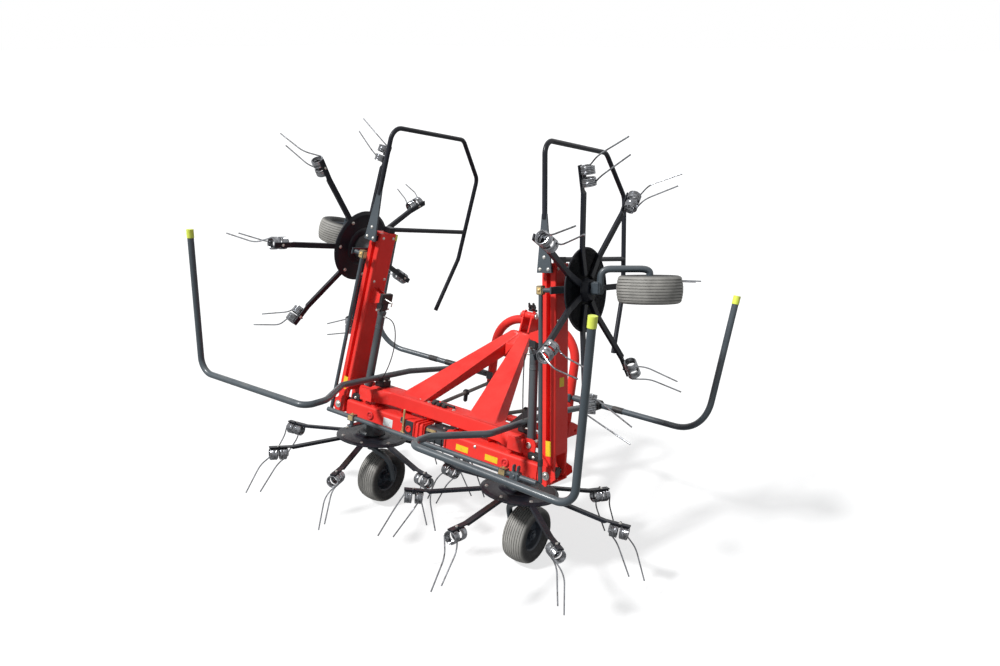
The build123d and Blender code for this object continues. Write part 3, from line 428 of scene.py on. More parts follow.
for side in (-1, 1):
    for k in range(STUDS):
        turn = math.radians(360 / STUDS * k + STUD_START)
        y, n = SHAFT_Y + STUD_RING * math.cos(turn), SHAFT_N + STUD_RING * math.sin(turn)
        bolt(studs, spot(side * STUD_X, y, n), ACROSS * -side, STUD)
for x, y in LID_BOLTS:
    bolt(studs, spot(x, y, LID_N), SQUARE, LID_BOLT)
piece("gearbox_studs", studs, zinc, "centre")

# Control linkage of the middle gearbox: an upright rod with a short crank and a
# strap across the casting, in yellow-passivated zinc.
CONTROL_FOOT = (-0.283, -0.125, 0.15)
CONTROL_HEAD = (-0.283, -0.125, 0.325)
CONTROL_R = 0.0085
CRANK = ((-0.3, -0.125, 0.155), (-0.255, -0.14, 0.153))
CRANK_R = 0.007
STRAP = (-0.02, -0.128, 0.236)
STRAP_SIZE = (0.085, 0.006, 0.02)
gold = Finish("yellow_zinc", (0.62, 0.45, 0.2), 0.35, metallic=0.75)
gold.mottle(28.0, 0.4, 0.75, (0.66, 0.5, 0.24), (0.42, 0.3, 0.16))
gold.uneven_gloss(80.0, 0.3, 0.5)
gold = gold.material
linkage = bmesh.new()
rod(linkage, spot(*CONTROL_FOOT), spot(*CONTROL_HEAD), CONTROL_R)
rod(linkage, spot(*CRANK[0]), spot(*CRANK[1]), CRANK_R)
block(linkage, spot(*STRAP), STRAP_SIZE, DECK)
piece("gearbox_linkage", linkage, gold, "centre")

# Headstock: bent red tube with welded lugs; the top link sits in a bushing
# between two fingers, with its pin, a grey lever and parked black couplings.
TOP_Y = 0.944
TOP_N = 1.006
BUSH_X = -0.03
BUSH_PROFILE = ((0.018, 0), (0.026, 0.0), (0.028, 0.003), (0.028, 0.057), (0.026, 0.06),
                (0.018, 0.06))
PIN_X = -0.085
PIN_PROFILE = ((0.011, 0), (0.0122, 0.002), (0.0122, 0.155), (0.011, 0.157))
COLLAR_X = 0.062
COLLAR_PROFILE = ((0.02, 0), (0.022, 0.002), (0.022, 0.008), (0.02, 0.01))
LUG_BOLT = (-0.006, 0.992, 0.965)
LEVER = (0.056, 0.93, 0.845)
LEVER_SIZE = (0.01, 0.13, 0.028)
COUPLINGS = ((-0.022, 0.985, 1.055), (0.018, 0.985, 1.06), (0.03, 0.955, 1.05))
COUPLING_PROFILE = ((0.011, 0), (0.014, 0.006), (0.014, 0.03), (0.009, 0.034), (0.009, 0.055),
                    (0.006, 0.058))
RACK = (0.005, 0.98, 1.045)
RACK_SIZE = (0.075, 0.03, 0.02)
dress(red, "headstock")
bush = bmesh.new()
turned(bush, spot(BUSH_X, TOP_Y, TOP_N), ACROSS, BUSH_PROFILE, 28)
piece("top_link_bush", bush, red, "centre")
pin = bmesh.new()
turned(pin, spot(PIN_X, TOP_Y, TOP_N), ACROSS, PIN_PROFILE, 20)
turned(pin, spot(COLLAR_X, TOP_Y, TOP_N), ACROSS, COLLAR_PROFILE, 20)
bolt(pin, spot(*LUG_BOLT), -AHEAD, SMALL_BOLT)
piece("top_link_pin", pin, zinc, "centre")
slate = enamel("slate_enamel", (0.062, 0.08, 0.094), (0.045, 0.058, 0.07), 0.3, dust=0.12,
               wear=0.45, bare=(0.3, 0.3, 0.3), coat=0.3)
lever = bmesh.new()
block(lever, spot(*LEVER), LEVER_SIZE, DECK, soft=0.3)
piece("headstock_lever", lever, slate, "centre")
couplings = bmesh.new()
for place in COUPLINGS:
    turned(couplings, spot(*place), SQUARE * 0.8 - AHEAD * 0.6, COUPLING_PROFILE, 16)
block(couplings, spot(*RACK), RACK_SIZE, DECK, soft=0.25)
piece("parked_couplings", couplings, dark_plastic, "centre")

# Stays from the beam to the headstock's legs: brown-grey round bar with a black
# clip on each, under the sloping arms.
STAY_REAR = (0.187, 0.13, 0.347)
STAY_FRONT = (0.377, 1.045, 0.345)
STAY_R = 0.0145
CLIP = (0.287, 0.61, 0.346)
CLIP_SIZE = (0.05, 0.045, 0.05)
CLIP_TAIL = (0.03, 0.03, 0.06)
CLIP_DROP = 0.045
stays = bmesh.new()
for side in (-1, 1):
    rod(stays, sided(side, STAY_REAR), sided(side, STAY_FRONT), STAY_R, sides=20)
stay_grey = enamel("brown_grey_enamel", (0.12, 0.112, 0.096), (0.085, 0.08, 0.07), 0.35, dust=0.1,
                   wear=0.3)
piece("headstock_stays", stays, stay_grey, "centre")
clips = bmesh.new()
for side in (-1, 1):
    block(clips, sided(side, CLIP), CLIP_SIZE, DECK, soft=0.25)
    block(clips, sided(side, CLIP) - SQUARE * CLIP_DROP, CLIP_TAIL, DECK, soft=0.25)
piece("stay_clips", clips, dark_plastic, "centre")

# Guard tubes round the machine: slate enamelled steel tube with yellow end caps,
# held by black plastic clamps on the beam; a dark plate stands by the right one.
CLAMP_X = 0.657
CLAMP_Y = 0.035
CLAMP_BLOCKS = (
    # ahead and up, the sizes, and how far the edges are broken
    (CLAMP_Y, 0.412, (0.084, 0.09, 0.049), 0.12),
    (CLAMP_Y, 0.444, (0.07, 0.082, 0.03), 0.2),
    (1.043, 0.418, (0.064, 0.11, 0.064), 0.15),
)
JAW_N = 0.471
JAW_SHIFT = 0.004
JAW_SIZE = (0.036, 0.07, 0.026)
CLAMP_BOLT_X = 0.033
CLAMP_BOLT_YS = (0.008, 0.062)
CLAMP_BOLT_N = 0.4365
CLAMP_BOLT = 0.008
DARK_PLATE = ((0.48, 0.389), (0.62, 0.389), (0.655, 0.47), (0.662, 0.547), (0.63, 0.544))
DARK_PLATE_DEPTH = (0.084, 0.092)
PLATE_BOLT = (0.645, 0.083, 0.53)
PLATE_BOLT_SIZE = 0.014


def plate_of(mesh, corners, rear, front, place=spot):
    """A flat plate that stands across the machine, between two depths."""
    rings = [[mesh.verts.new(place(a, y, b)) for a, b in corners] for y in (rear, front)]
    for ring in rings:
        mesh.faces.new(ring)
    for k in range(len(corners)):
        j = (k + 1) % len(corners)
        mesh.faces.new((rings[0][k], rings[0][j], rings[1][j], rings[1][k]))


dress(slate, "rear_guards", "tie_rod_right", "tie_rod_left", "steering_rod")
cap_plastic = Finish("yellow_cap_plastic", (0.74, 0.83, 0.1), 0.4)
cap_plastic.mottle(20.0, 0.5, 0.8, (0.76, 0.85, 0.11), (0.6, 0.66, 0.12))
cap_plastic.relief(cap_plastic.noise(300.0, 2.0), 0.2, 0.0004, cap_plastic.rounded(0.004))
dress(cap_plastic.material, "guard_caps")
clamps = bmesh.new()
jaws = bmesh.new()
clamp_bolts = bmesh.new()
for side in (-1, 1):
    over = side * CLAMP_X
    for y, n, sizes, soft in CLAMP_BLOCKS:
        block(clamps, spot(over, y, n), sizes, DECK, soft)
    block(jaws, spot(over + side * JAW_SHIFT, CLAMP_Y, JAW_N), JAW_SIZE, DECK, soft=0.3)
    for y in CLAMP_BOLT_YS:
        for x in (over + CLAMP_BOLT_X, over - CLAMP_BOLT_X):
            bolt(clamp_bolts, spot(x, y, CLAMP_BOLT_N), SQUARE, CLAMP_BOLT)
plate_of(clamps, DARK_PLATE, *DARK_PLATE_DEPTH)
made = piece("clamp_blocks", clamps, dark_plastic, "centre")
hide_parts("guard_clamps")
piece("clamp_jaws", jaws, slate, "centre")
piece("clamp_bolts", clamp_bolts, zinc, "centre")
gold_bolt = bmesh.new()
bolt(gold_bolt, spot(*PLATE_BOLT), -AHEAD, PLATE_BOLT_SIZE)
piece("plate_bolt", gold_bolt, gold, "centre")

# Black bands and a grey sleeve round the inner run of each front guard, and a
# black knob on the right one: wraps where hoses are tied, pushed on the tube.
GUARD_ROOT = (0.386, 1.088, 0.408)
GUARD_RUN = (1.488, 0.978, 0.442)
BANDS = {1: ((0.41, 0.5),), -1: ((0.36, 0.47), (0.555, 0.64))}
BAND_R = 0.0248
SLEEVE = (0.05, 0.285)
SLEEVE_R = 0.0262
KNOB_AT = 0.2
KNOB_UP = 0.02
KNOB_PROFILE = ((0.012, 0), (0.012, 0.02), (0.02, 0.024), (0.02, 0.045), (0.014, 0.05))
bands = bmesh.new()
sleeves = bmesh.new()
for side in (-1, 1):
    start = sided(side, GUARD_ROOT)
    outward = (sided(side, GUARD_RUN) - start).normalized()
    for low, high in BANDS[side]:
        rod(bands, start + outward * low, start + outward * high, BAND_R, sides=24, lip=0.08)
    inner_end, outer_end = (start + outward * at for at in SLEEVE)
    rod(sleeves, inner_end, outer_end, SLEEVE_R, sides=24, lip=0.05)
    if side > 0:
        turned(bands, start + outward * KNOB_AT + SQUARE * KNOB_UP, SQUARE, KNOB_PROFILE, 18)
piece("guard_bands", bands, dark_plastic, "centre")
piece("guard_sleeves", sleeves, slate, "centre")

# The beam with its sloping arms, wedge gussets and cheeks: the frame's own solid,
# whose rear cheeks are cut open between the beam's nose and the hinge.
OPENING = (0.802, -0.1125, 0.331)
OPENING_SIZE = (0.132, 0.025, 0.138)
WELD = 1e-6
cutter = bmesh.new()
for side in (-1, 1):
    block(cutter, sided(side, OPENING), OPENING_SIZE, DECK, soft=0.15)
opening = as_object("cheek_opening", cutter)
welded = bmesh.new()
welded.from_mesh(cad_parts["centre_frame"].data)
bmesh.ops.remove_doubles(welded, verts=welded.verts[:], dist=WELD)
blank = as_object("frame_blank", welded)
cut = blank.modifiers.new("open_cheeks", "BOOLEAN")
cut.object = opening
cut.operation = "DIFFERENCE"
cut.solver = "EXACT"
depsgraph = bpy.context.evaluated_depsgraph_get()
beam = bmesh.new()
beam.from_mesh(bpy.data.meshes.new_from_object(blank.evaluated_get(depsgraph)))
for face in beam.faces:
    face.material_index = 0
for item in (opening, blank):
    bpy.data.objects.remove(item)
made = piece("beam_frame", beam, red, "centre")
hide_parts("centre_frame")

# Hinge ends of the frame: a narrow ear welded to the beam's end takes the cylinder pin, and a
# pointed plate doubles each cheek. Pins, washers and nuts are zinc-plated. A black block set in
# each opened cheek under the ear is painted shade for the hollow there.
EAR = ((0.699, 0.29), (0.699, 0.378), (0.76, 0.384), (0.79, 0.376), (0.803, 0.355),
       (0.803, 0.256), (0.735, 0.256))
EAR_DEPTH = (-0.064, -0.052)
NOSE = ((0.884, 0.292), (0.925, 0.262), (1.008, 0.236), (1.018, 0.196), (0.951, 0.126),
        (0.905, 0.15), (0.884, 0.165))
NOSE_DEPTHS = ((-0.129, -0.1212), (0.0862, 0.094))
FOOT_X = 0.75
FOOT_N = 0.338
PINS = (
    # across, up, rear end, front end, radius
    (HINGE_X, HINGE_N, -0.131, -0.077, 0.0198), (HINGE_X, HINGE_N, 0.042, 0.096, 0.0198),
    (FOOT_X, FOOT_N, -0.07, 0.092, 0.0124), (FOOT_X, FOOT_N, -0.008, 0.065, 0.022),
)
HINGE_WASHER_Y = -0.1292
HINGE_BOLT_Y = -0.131
HINGE_BOLT = 0.015
FOOT_WASHER_Y = -0.0642
HINGE_WASHER = ((0.026, 0), (0.0285, 0.001), (0.0285, 0.004), (0.02, 0.005))
FOOT_WASHER = ((0.02, 0), (0.021, 0.001), (0.021, 0.005), (0.014, 0.008))
# Painted shade: a black block fills the hollow under each ear, with a zinc bolt on its rear face.
SHADE_BLOCK = (0.81, -0.06, 0.277)
SHADE_BLOCK_SIZE = (0.095, 0.056, 0.05)
SHADE_BLOCK_BOLT = (0.812, -0.0885, 0.276)
ears = bmesh.new()
for side in (-1, 1):
    plate_of(ears, [(side * x, n) for x, n in EAR], *EAR_DEPTH)
    for depth in NOSE_DEPTHS:
        plate_of(ears, [(side * x, n) for x, n in NOSE], *depth)
piece("hinge_plates", ears, red, "centre")
pins = bmesh.new()
for side in (-1, 1):
    for x, n, low, high, radius in PINS:
        rod(pins, spot(side * x, low, n), spot(side * x, high, n), radius, sides=28, lip=0.08)
    turned(pins, spot(side * HINGE_X, HINGE_WASHER_Y, HINGE_N), -AHEAD, HINGE_WASHER, 28)
    bolt(pins, spot(side * HINGE_X, HINGE_BOLT_Y, HINGE_N), -AHEAD, HINGE_BOLT)
    turned(pins, spot(side * FOOT_X, FOOT_WASHER_Y, FOOT_N), -AHEAD, FOOT_WASHER, 24)
    bolt(pins, sided(side, SHADE_BLOCK_BOLT), -AHEAD, SMALL_BOLT)
made = piece("hinge_pins", pins, zinc, "centre")
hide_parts("pivot_pins")
# Painted shade: black blocks in the opened cheeks stand for the shade of the hollow there.
shade_blocks = bmesh.new()
for side in (-1, 1):
    block(shade_blocks, sided(side, SHADE_BLOCK), SHADE_BLOCK_SIZE, DECK, soft=0.2)
piece("painted_shade_blocks", shade_blocks, dark_plastic, "centre")

# Rubber boots over the drive joints at the hinges: five ribs, each a little wider
# than the one before it on the housing's side, and a plain collar at the far end.
BOOT_Y = -0.0175
BOOT_R = 0.034
BOOT_BORE = 0.02
RIBS = 5
RIB_STEP = 0.019
RIB_DEPTH = 0.009
RIB_GROWTH = 0.001
FIRST_RIB = 0.006
FIRST_VALLEY = 0.0155
BOOT_COLLAR = (0.036, 0.101)
BOOT_LENGTH = 0.103
rubber = Finish("moulded_rubber", (0.02, 0.02, 0.021), 0.6)
rubber.mottle(14.0, 0.45, 0.8, (0.018, 0.018, 0.019), (0.06, 0.057, 0.052))
rubber.relief(rubber.noise(350.0), 0.3, 0.0006)
boot_profile = [(BOOT_BORE, 0.0), (BOOT_R, 0.0)]
for k in range(RIBS):
    reach, shift = BOOT_R + RIB_GROWTH * k, RIB_STEP * k
    boot_profile += [(reach, FIRST_RIB + shift), (reach - RIB_DEPTH, FIRST_VALLEY + shift)]
boot_profile += [BOOT_COLLAR, (BOOT_BORE, BOOT_LENGTH)]
boots = bmesh.new()
for side in (-1, 1):
    turned(boots, spot(side * BEAM_END, BOOT_Y, HINGE_N), ACROSS * side, boot_profile, 36)
made = piece("drive_boots", boots, rubber.material, "centre")
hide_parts("joint_boots")

# Rotors: a dished black disc with a rolled rim, a pressed ring round its middle and
# seven flat bars; zinc-plated bolts hold the bars and, at their ends, the tines.
ROTORS = ("inner_right", "inner_left", "outer_right", "outer_left")
SPIN = {"inner_right": 1, "inner_left": -1, "outer_right": -1, "outer_left": 1}
ARMS = 7
PHASE = math.radians(14.3)
HUB_X = 0.688
ARM_U = 1.197
HUB_DROP = -0.2
UP = Vector((0, 0, 1))
BOLT_RING = 0.228
DISC_BOLT = 0.0105
COIL_RING = 0.707
STRIP_N = -0.065
ROLL_RING = 0.262
ROLL_N = -0.0125
ROLL_R = 0.0055
ROLL_SIDES = 10
PRESSED_RING = ((0.099, 0.0), (0.101, 0.014), (0.108, 0.016), (0.14, 0.006), (0.146, 0.0))


def hub_frame(name):
    """The rotor's own axes, its arms turning in the plane of the first two."""
    side = 1 if name.endswith("right") else -1
    if name.startswith("inner"):
        out, up, middle = ACROSS, SQUARE, spot(side * HUB_X, 0, 0)
    else:
        along, _, up = arm_axes(side)
        out, middle = along * side, arm_spot(side, ARM_U, 0, HUB_DROP)
    axes = Matrix((out, up.cross(out), up)).transposed().to_4x4()
    axes.translation = middle
    return axes


def arm_turns(name):
    """The angles of a rotor's arms."""
    return [SPIN[name] * PHASE + 2 * math.pi * k / ARMS for k in range(ARMS)]


def on_hub(mesh, name):
    """Move what was built round the origin to its rotor."""
    bmesh.ops.transform(mesh, matrix=hub_frame(name), verts=mesh.verts[:])


black = enamel("black_enamel", (0.008, 0.009, 0.014), (0.014, 0.016, 0.023), 0.28, dust=0.02,
               wear=0.35, bare=(0.12, 0.11, 0.12), corner=0.002, coat=0.05, gloss=0.2)
dress(black, *("rotor_" + name for name in ROTORS))
roll_turns = [2 * math.pi * k / ROLL_SIDES for k in range(ROLL_SIDES + 1)]
roll = [(ROLL_RING + ROLL_R * math.cos(a), ROLL_N + ROLL_R * math.sin(a)) for a in roll_turns]
for name in ROTORS:
    bolts = bmesh.new()
    for turn in arm_turns(name):
        x, y = math.cos(turn), math.sin(turn)
        bolt(bolts, Vector((BOLT_RING * x, BOLT_RING * y, 0.0)), UP, DISC_BOLT)
        bolt(bolts, Vector((COIL_RING * x, COIL_RING * y, STRIP_N)), UP, SMALL_BOLT)
    on_hub(bolts, name)
    piece("disc_bolts_" + name, bolts, zinc, "rotor_" + name)
    rims = bmesh.new()
    turned(rims, Vector(), UP, roll, 64)
    turned(rims, Vector(), UP, PRESSED_RING, 48)
    on_hub(rims, name)
    piece("disc_rolls_" + name, rims, black, "rotor_" + name)

# Spring tines: each pair is two coils of oil-tempered wire, wound close round the
# end of an arm, with two bent legs that rake the hay.
COIL_DROP = -0.12
COIL_MEAN = 0.0402
COIL_LEN = 0.058
COIL_GAP = 0.02
COIL_TURNS = 5.25
WIRE_R = 0.0051
WIRE_SIDES = 8
KNEE = (0.058, 0.022, -0.209)
KNEE_REACH = 0.05
TIP = (0.159, 0.012, -0.412)
TIP_CLOSE = 0.011
STEPS = 16
ARC_STEPS = 8


def arc(first, corner, last):
    """Places along a smooth bend that leaves towards a corner and comes from it."""
    shares = [k / ARC_STEPS for k in range(ARC_STEPS + 1)]
    return [first * (1 - s) ** 2 + corner * 2 * s * (1 - s) + last * s ** 2 for s in shares]


def wire_path(end, hand):
    """Middle line of one half of a pair, from the bolt through the coil to the tip."""
    inner = COIL_RING + end * COIL_GAP / 2
    count = int(COIL_TURNS * STEPS)
    length = COIL_LEN - WIRE_R * 1.2
    points = [Vector((COIL_RING, 0, COIL_DROP + COIL_MEAN))]
    for k in range(count + 1):
        turn = 2 * math.pi * k / STEPS
        x = inner + end * length * k / count
        y, z = -hand * COIL_MEAN * math.sin(turn), COIL_DROP + COIL_MEAN * math.cos(turn)
        points.append(Vector((x, y, z)))
    root = points[-1]
    knee = Vector((root.x + KNEE[0], hand * KNEE[1], KNEE[2]))
    tip = Vector((root.x + TIP[0] - end * TIP_CLOSE, hand * TIP[1], TIP[2]))
    above = knee + (root - knee).normalized() * KNEE_REACH
    below = knee + (tip - knee).normalized() * KNEE_REACH
    return points + arc(above, knee, below) + [tip]


def sweep(mesh, points, radius, sides):
    """A round wire or tube along points, its frame carried along without twist."""
    ahead = (points[1] - points[0]).normalized()
    side = ahead.orthogonal().normalized()
    turns = [2 * math.pi * j / sides for j in range(sides)]
    rings = []
    for k, point in enumerate(points):
        onward = (points[min(k + 1, len(points) - 1)] - points[max(k - 1, 0)]).normalized()
        side = (side - onward * side.dot(onward)).normalized()
        other = onward.cross(side)
        rings.append([mesh.verts.new(point + around(side, other, a) * radius) for a in turns])
    for low, high in zip(rings, rings[1:]):
        for j in range(sides):
            mesh.faces.new((low[j], low[(j + 1) % sides], high[(j + 1) % sides], high[j]))
    for ring in (rings[0], rings[-1]):
        mesh.faces.new(ring)


wire = Finish("spring_wire", (0.105, 0.11, 0.12), 0.2, metallic=0.95)
wire.mottle(45.0, 0.45, 0.75, (0.3, 0.31, 0.33), (0.1, 0.095, 0.09))
wire.uneven_gloss(120.0, 0.16, 0.3)
for name in ROTORS:
    wires = bmesh.new()
    for turn in arm_turns(name):
        spin = Matrix.Rotation(turn, 4, "Z")
        for end in (-1, 1):
            sweep(wires, [spin @ p for p in wire_path(end, SPIN[name])], WIRE_R, WIRE_SIDES)
    on_hub(wires, name)
    made = piece("spring_tines_" + name, wires, wire.material, "rotor_" + name)
    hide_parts("tines_" + name)

# Tyres: small implement tyres with eight fine grooves round a dusty grey-brown tread, ribbed
# shoulders and near-black side walls, on pressed dark steel rims. The groove floors are painted
# darker than the crown: painted shade in the grooves.
WHEEL = (0.005, 0.165, -0.369)
TYRE_R = 0.205
TYRE_SIDES = 72
TREAD_SMOOTH = math.radians(40.0)
CROWN_FALL = 2.0
GROOVES = (0.063, 0.045, 0.027, 0.009)
GROOVE_DEPTH = 0.0035
GROOVE_LIP = 0.0022
GROOVE_FLOOR = 0.0014
LUG_DEPTH = 0.0016
LUG_BAND = (0.17, 0.19)
NUTS = 5
NUT_START = 18
NUT_RING = 0.062
NUT_FACE = 0.0165
NUT = 0.008
AXLE_FACE = 0.055
AXLE_CAP = ((0.02, 0), (0.022, 0.002), (0.022, 0.008), (0.015, 0.012))


def wheel_place(name):
    """Wheel centre and axle direction of one rotor's wheel."""
    side = 1 if name.endswith("right") else -1
    right = hub_frame(name.replace("left", "right"))
    middle = right @ Vector(WHEEL)
    axle = right.to_3x3() @ ACROSS
    return Vector((side * middle.x, middle.y, middle.z)), Vector((side * axle.x, axle.y, axle.z))


tread = Finish("tyre_rubber", (0.03, 0.03, 0.03), 0.75)
worn = tread.noise(16.0, 5.0).spread(0.3, 0.75)
depth = tread.node("ShaderNodeAttribute", {"attribute_name": "tread"}, out="Fac")
# The tread colour's share: dust on the crown, and less on the groove floors as painted shade.
tread_dust_and_groove_shade = depth * (0.7 + 0.3 * worn)
tread.put(tread.blend(tread_dust_and_groove_shade, (0.012, 0.012, 0.013), (0.36, 0.35, 0.325)), "Base Color")
tread.uneven_gloss(60.0, 0.6, 0.85)
tread.relief(tread.noise(420.0) + tread.noise(60.0, 2.0), 0.35, 0.001)
rim_paint = enamel("rim_enamel", (0.05, 0.062, 0.08), (0.035, 0.043, 0.056), 0.35, dust=0.1,
                   wear=0.4)
half = [
    # across, radius, share of tread dust, lowered on the groove floors as painted shade
    (0.059, 0.112, 0.0), (0.065, 0.118, 0.0), (0.077, 0.128, 0.0), (0.0855, 0.145, 0.05),
    (0.0875, 0.16, 0.05), (0.086, 0.174, 0.15), (0.082, 0.185, 0.5), (0.0755, 0.1925, 0.95),
    (0.069, 0.1955, 1.0),
]
# Each groove's lips take all of the tread colour and its floor a quarter: painted shade in the
# groove.
for groove in GROOVES:
    crown = TYRE_R - CROWN_FALL * groove ** 2
    floor = crown - GROOVE_DEPTH
    half += [(groove + GROOVE_LIP, crown, 1.0), (groove + GROOVE_FLOOR, floor, 0.25),
             (groove - GROOVE_FLOOR, floor, 0.25), (groove - GROOVE_LIP, crown, 1.0)]
tyre_profile = half + [(-x, radius, share) for x, radius, share in reversed(half)]
for name in ROTORS:
    middle, axle = wheel_place(name)
    body = "wheel_" + name
    ring = bmesh.new()
    dusty = ring.verts.layers.float.new("tread")
    side = axle.orthogonal().normalized()
    other = axle.cross(side)
    loops = []
    for x, radius, share in tyre_profile:
        loop = []
        for k in range(TYRE_SIDES):
            out = around(side, other, 2 * math.pi * k / TYRE_SIDES)
            lug = LUG_DEPTH if k % 2 and LUG_BAND[0] < radius < LUG_BAND[1] else 0.0
            vert = ring.verts.new(middle + axle * x + out * (radius - lug))
            vert[dusty] = share
            loop.append(vert)
        loops.append(loop)
    for low, high in zip(loops, loops[1:] + loops[:1]):
        for k in range(TYRE_SIDES):
            j = (k + 1) % TYRE_SIDES
            ring.faces.new((low[k], low[j], high[j], high[k]))
    made = piece("tread_" + name, ring, tread.material, body, TREAD_SMOOTH)
    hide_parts("tyre_" + name)
    nuts = bmesh.new()
    for face in (-1, 1):
        out = axle * face
        for k in range(NUTS):
            turn = math.radians(360 / NUTS * k + NUT_START)
            foot = middle + out * NUT_FACE + around(side, other, turn) * NUT_RING
            bolt(nuts, foot, out, NUT)
        turned(nuts, middle + out * AXLE_FACE, out, AXLE_CAP, 20)
    piece("wheel_nuts_" + name, nuts, rim_paint, body)
dress(rim_paint, *("rim_" + name for name in ROTORS))

# Wheel struts: one length of thick tube, bent cold from the rotor column out
# beside the wheel and in to its axle, with the steering lever on the column.
STRUT_R = 0.022
SIDE_RUN = 0.126
STRUT_BEND = 0.062
AXLE_R = 0.0125
COLUMN_FOOT = Vector((0, 0, -0.118))
COLUMN = ((0.021, 0), (0.025, 0.004), (0.025, 0.226), (0.039, 0.2262), (0.039, 0.238),
          (0.02, 0.2385))
HUB_AXES = (ACROSS, Vector((0, 1, 0)), UP)
ADJUSTER = Vector((0.012, 0, -0.093))
ADJUSTER_SIZE = (0.08, 0.075, 0.062)
ROD_Y = -0.2325
TIE_Y = -0.1945
LEVER_END = 0.026
LEVER_N = 0.114
LEVER_SECTION = (0.046, 0.0118)
STRUT_TOP = (0, 0, -0.06)
AXLE_SPAN = (0.069, 0.08)


def bent_run(corners, reach):
    """Middle line of a bent tube: straight runs with a smooth bend at each corner."""
    points = [corners[0]]
    for before, here, after in zip(corners, corners[1:], corners[2:]):
        into = here + (before - here).normalized() * min(reach, (before - here).length * 0.48)
        away = here + (after - here).normalized() * min(reach, (after - here).length * 0.48)
        points += arc(into, here, away)
    return points + [corners[-1]]


for name in ROTORS:
    inner = name.startswith("inner")
    out = -1 if inner else 1
    beside = WHEEL[0] + out * SIDE_RUN
    if inner:
        upper, end = ((0, 0, -0.1), (beside, 0.08, -0.18)), 0.066
    else:
        upper, end = ((0, 0, -0.112), (beside, 0, -0.116)), 0.072
    corners = (STRUT_TOP, *upper, (beside, *WHEEL[1:]), (out * end, *WHEEL[1:]))
    legs = bmesh.new()
    sweep(legs, bent_run([Vector(c) for c in corners], STRUT_BEND), STRUT_R, 20)
    far, near = WHEEL[0] - out * AXLE_SPAN[0], out * AXLE_SPAN[1]
    rod(legs, Vector((far, *WHEEL[1:])), Vector((near, *WHEEL[1:])), AXLE_R)
    turned(legs, COLUMN_FOOT, UP, COLUMN, 28)
    if not inner:
        block(legs, ADJUSTER, ADJUSTER_SIZE, HUB_AXES, soft=0.12)
    pin_y = ROD_Y if inner else TIE_Y
    reach = -pin_y + LEVER_END
    sizes = (LEVER_SECTION[0], reach, LEVER_SECTION[1])
    block(legs, Vector((0, -reach / 2, LEVER_N)), sizes, HUB_AXES, soft=0.2)
    place = hub_frame(name.replace("left", "right"))
    if name.endswith("left"):
        place = Matrix.Diagonal((-1, 1, 1, 1)) @ place
    bmesh.ops.transform(legs, matrix=place, verts=legs.verts[:])
    made = piece("bent_strut_" + name, legs, slate, "strut_" + name)
    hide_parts("strut_" + name)

# Front guards: one slate steel tube on each side, bent up in a wide curve at its
# outer end and welded to a saddle plate behind the headstock's leg.
GUARD_FOOT = (1.573, 0.893, 0.442)
GUARD_TOP = (1.59, 1.05, 1.428)
GUARD_R = 0.0225
RUN_LENGTH = 1.1935
GUARD_BEND = 0.26
GUARD_PULL = 0.116
GUARD_STEPS = 16
SADDLE = (0.386, 1.061, 0.408)
SADDLE_SIZE = (0.052, 0.038, 0.064)
tubes = bmesh.new()
for side in (-1, 1):
    root, foot, top = (sided(side, place) for place in (GUARD_ROOT, GUARD_FOOT, GUARD_TOP))
    run = (sided(side, GUARD_RUN) - root).normalized()
    rise = (top - foot).normalized()
    turn = root + run * RUN_LENGTH
    begin, near = turn - run * GUARD_BEND, turn - run * GUARD_PULL
    far, end = foot + rise * GUARD_PULL, foot + rise * GUARD_BEND
    curve = []
    for s in (k / GUARD_STEPS for k in range(GUARD_STEPS + 1)):
        first, last = begin * (1 - s) ** 3, end * s ** 3
        curve.append(first + near * 3 * s * (1 - s) ** 2 + far * 3 * s ** 2 * (1 - s) + last)
    sweep(tubes, [root] + curve + [top], GUARD_R, 28)
    block(tubes, sided(side, SADDLE), SADDLE_SIZE, DECK, soft=0.1)
made = piece("front_guard_tubes", tubes, slate, "centre")
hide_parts("front_guards")

# Folding cylinders: grey enamelled barrels with a screwed gland, chromed rods and
# a black valve block at the rod eye, with its unions and, on the left, a wire lever.
CYLINDER_FOOT = (FOOT_X, -0.03, FOOT_N)
CYLINDER_HEAD = (0.668, -0.03, 1.058)
GLAND = ((0.029, 0.53), (0.0298, 0.532), (0.0298, 0.612), (0.034, 0.613), (0.034, 0.632),
         (0.03, 0.635), (0.018, 0.636))
GLAND_RING = ((0.0302, 0.5), (0.0318, 0.501), (0.0318, 0.509), (0.0302, 0.51))
VALVE_AT = 0.672
VALVE_OUT = 0.006
VALVE_SIZE = (0.062, 0.068, 0.062)
SECOND_VALVE_AT = 0.735
SECOND_VALVE_IN = 0.016
SECOND_VALVE_SIZE = (0.034, 0.11, 0.075)
UNION_AT = 0.648
UNION_YS = (-0.05, 0.05)
UNION_REACH = 0.016
UNION_R = 0.0085
WIRE_LEVER = ((0.74, 0.02, -0.03), (0.73, 0.105, -0.03), (0.7, 0.105, -0.03))
WIRE_LEVER_RS = (0.006, 0.005)
STUB_LOW = 0.1
STUB_HIGH = 0.6
STUB_R = 0.008
STUB_SEAT = 0.03
STUB_REACH = (-0.006, 0.02)
HOSE_BOW = {"left": 0.14, "right": 0.055}
HOSE_R = 0.004
HOSE_PATH = (
    # end, inward, share of the bow, along the barrel, ahead
    ("high", 0.018, 0, 0, 0), ("high", 0.02, 0.3, 0.004, 0), ("high", 0, 0.82, -0.03, 0),
    ("high", 0, 1, -0.13, 0.01), ("high", 0, 1, -0.27, 0.01), ("low", 0, 0.8, 0.08, 0),
    ("low", 0.02, 0.25, 0.002, 0), ("low", 0.018, 0, 0, 0),
)
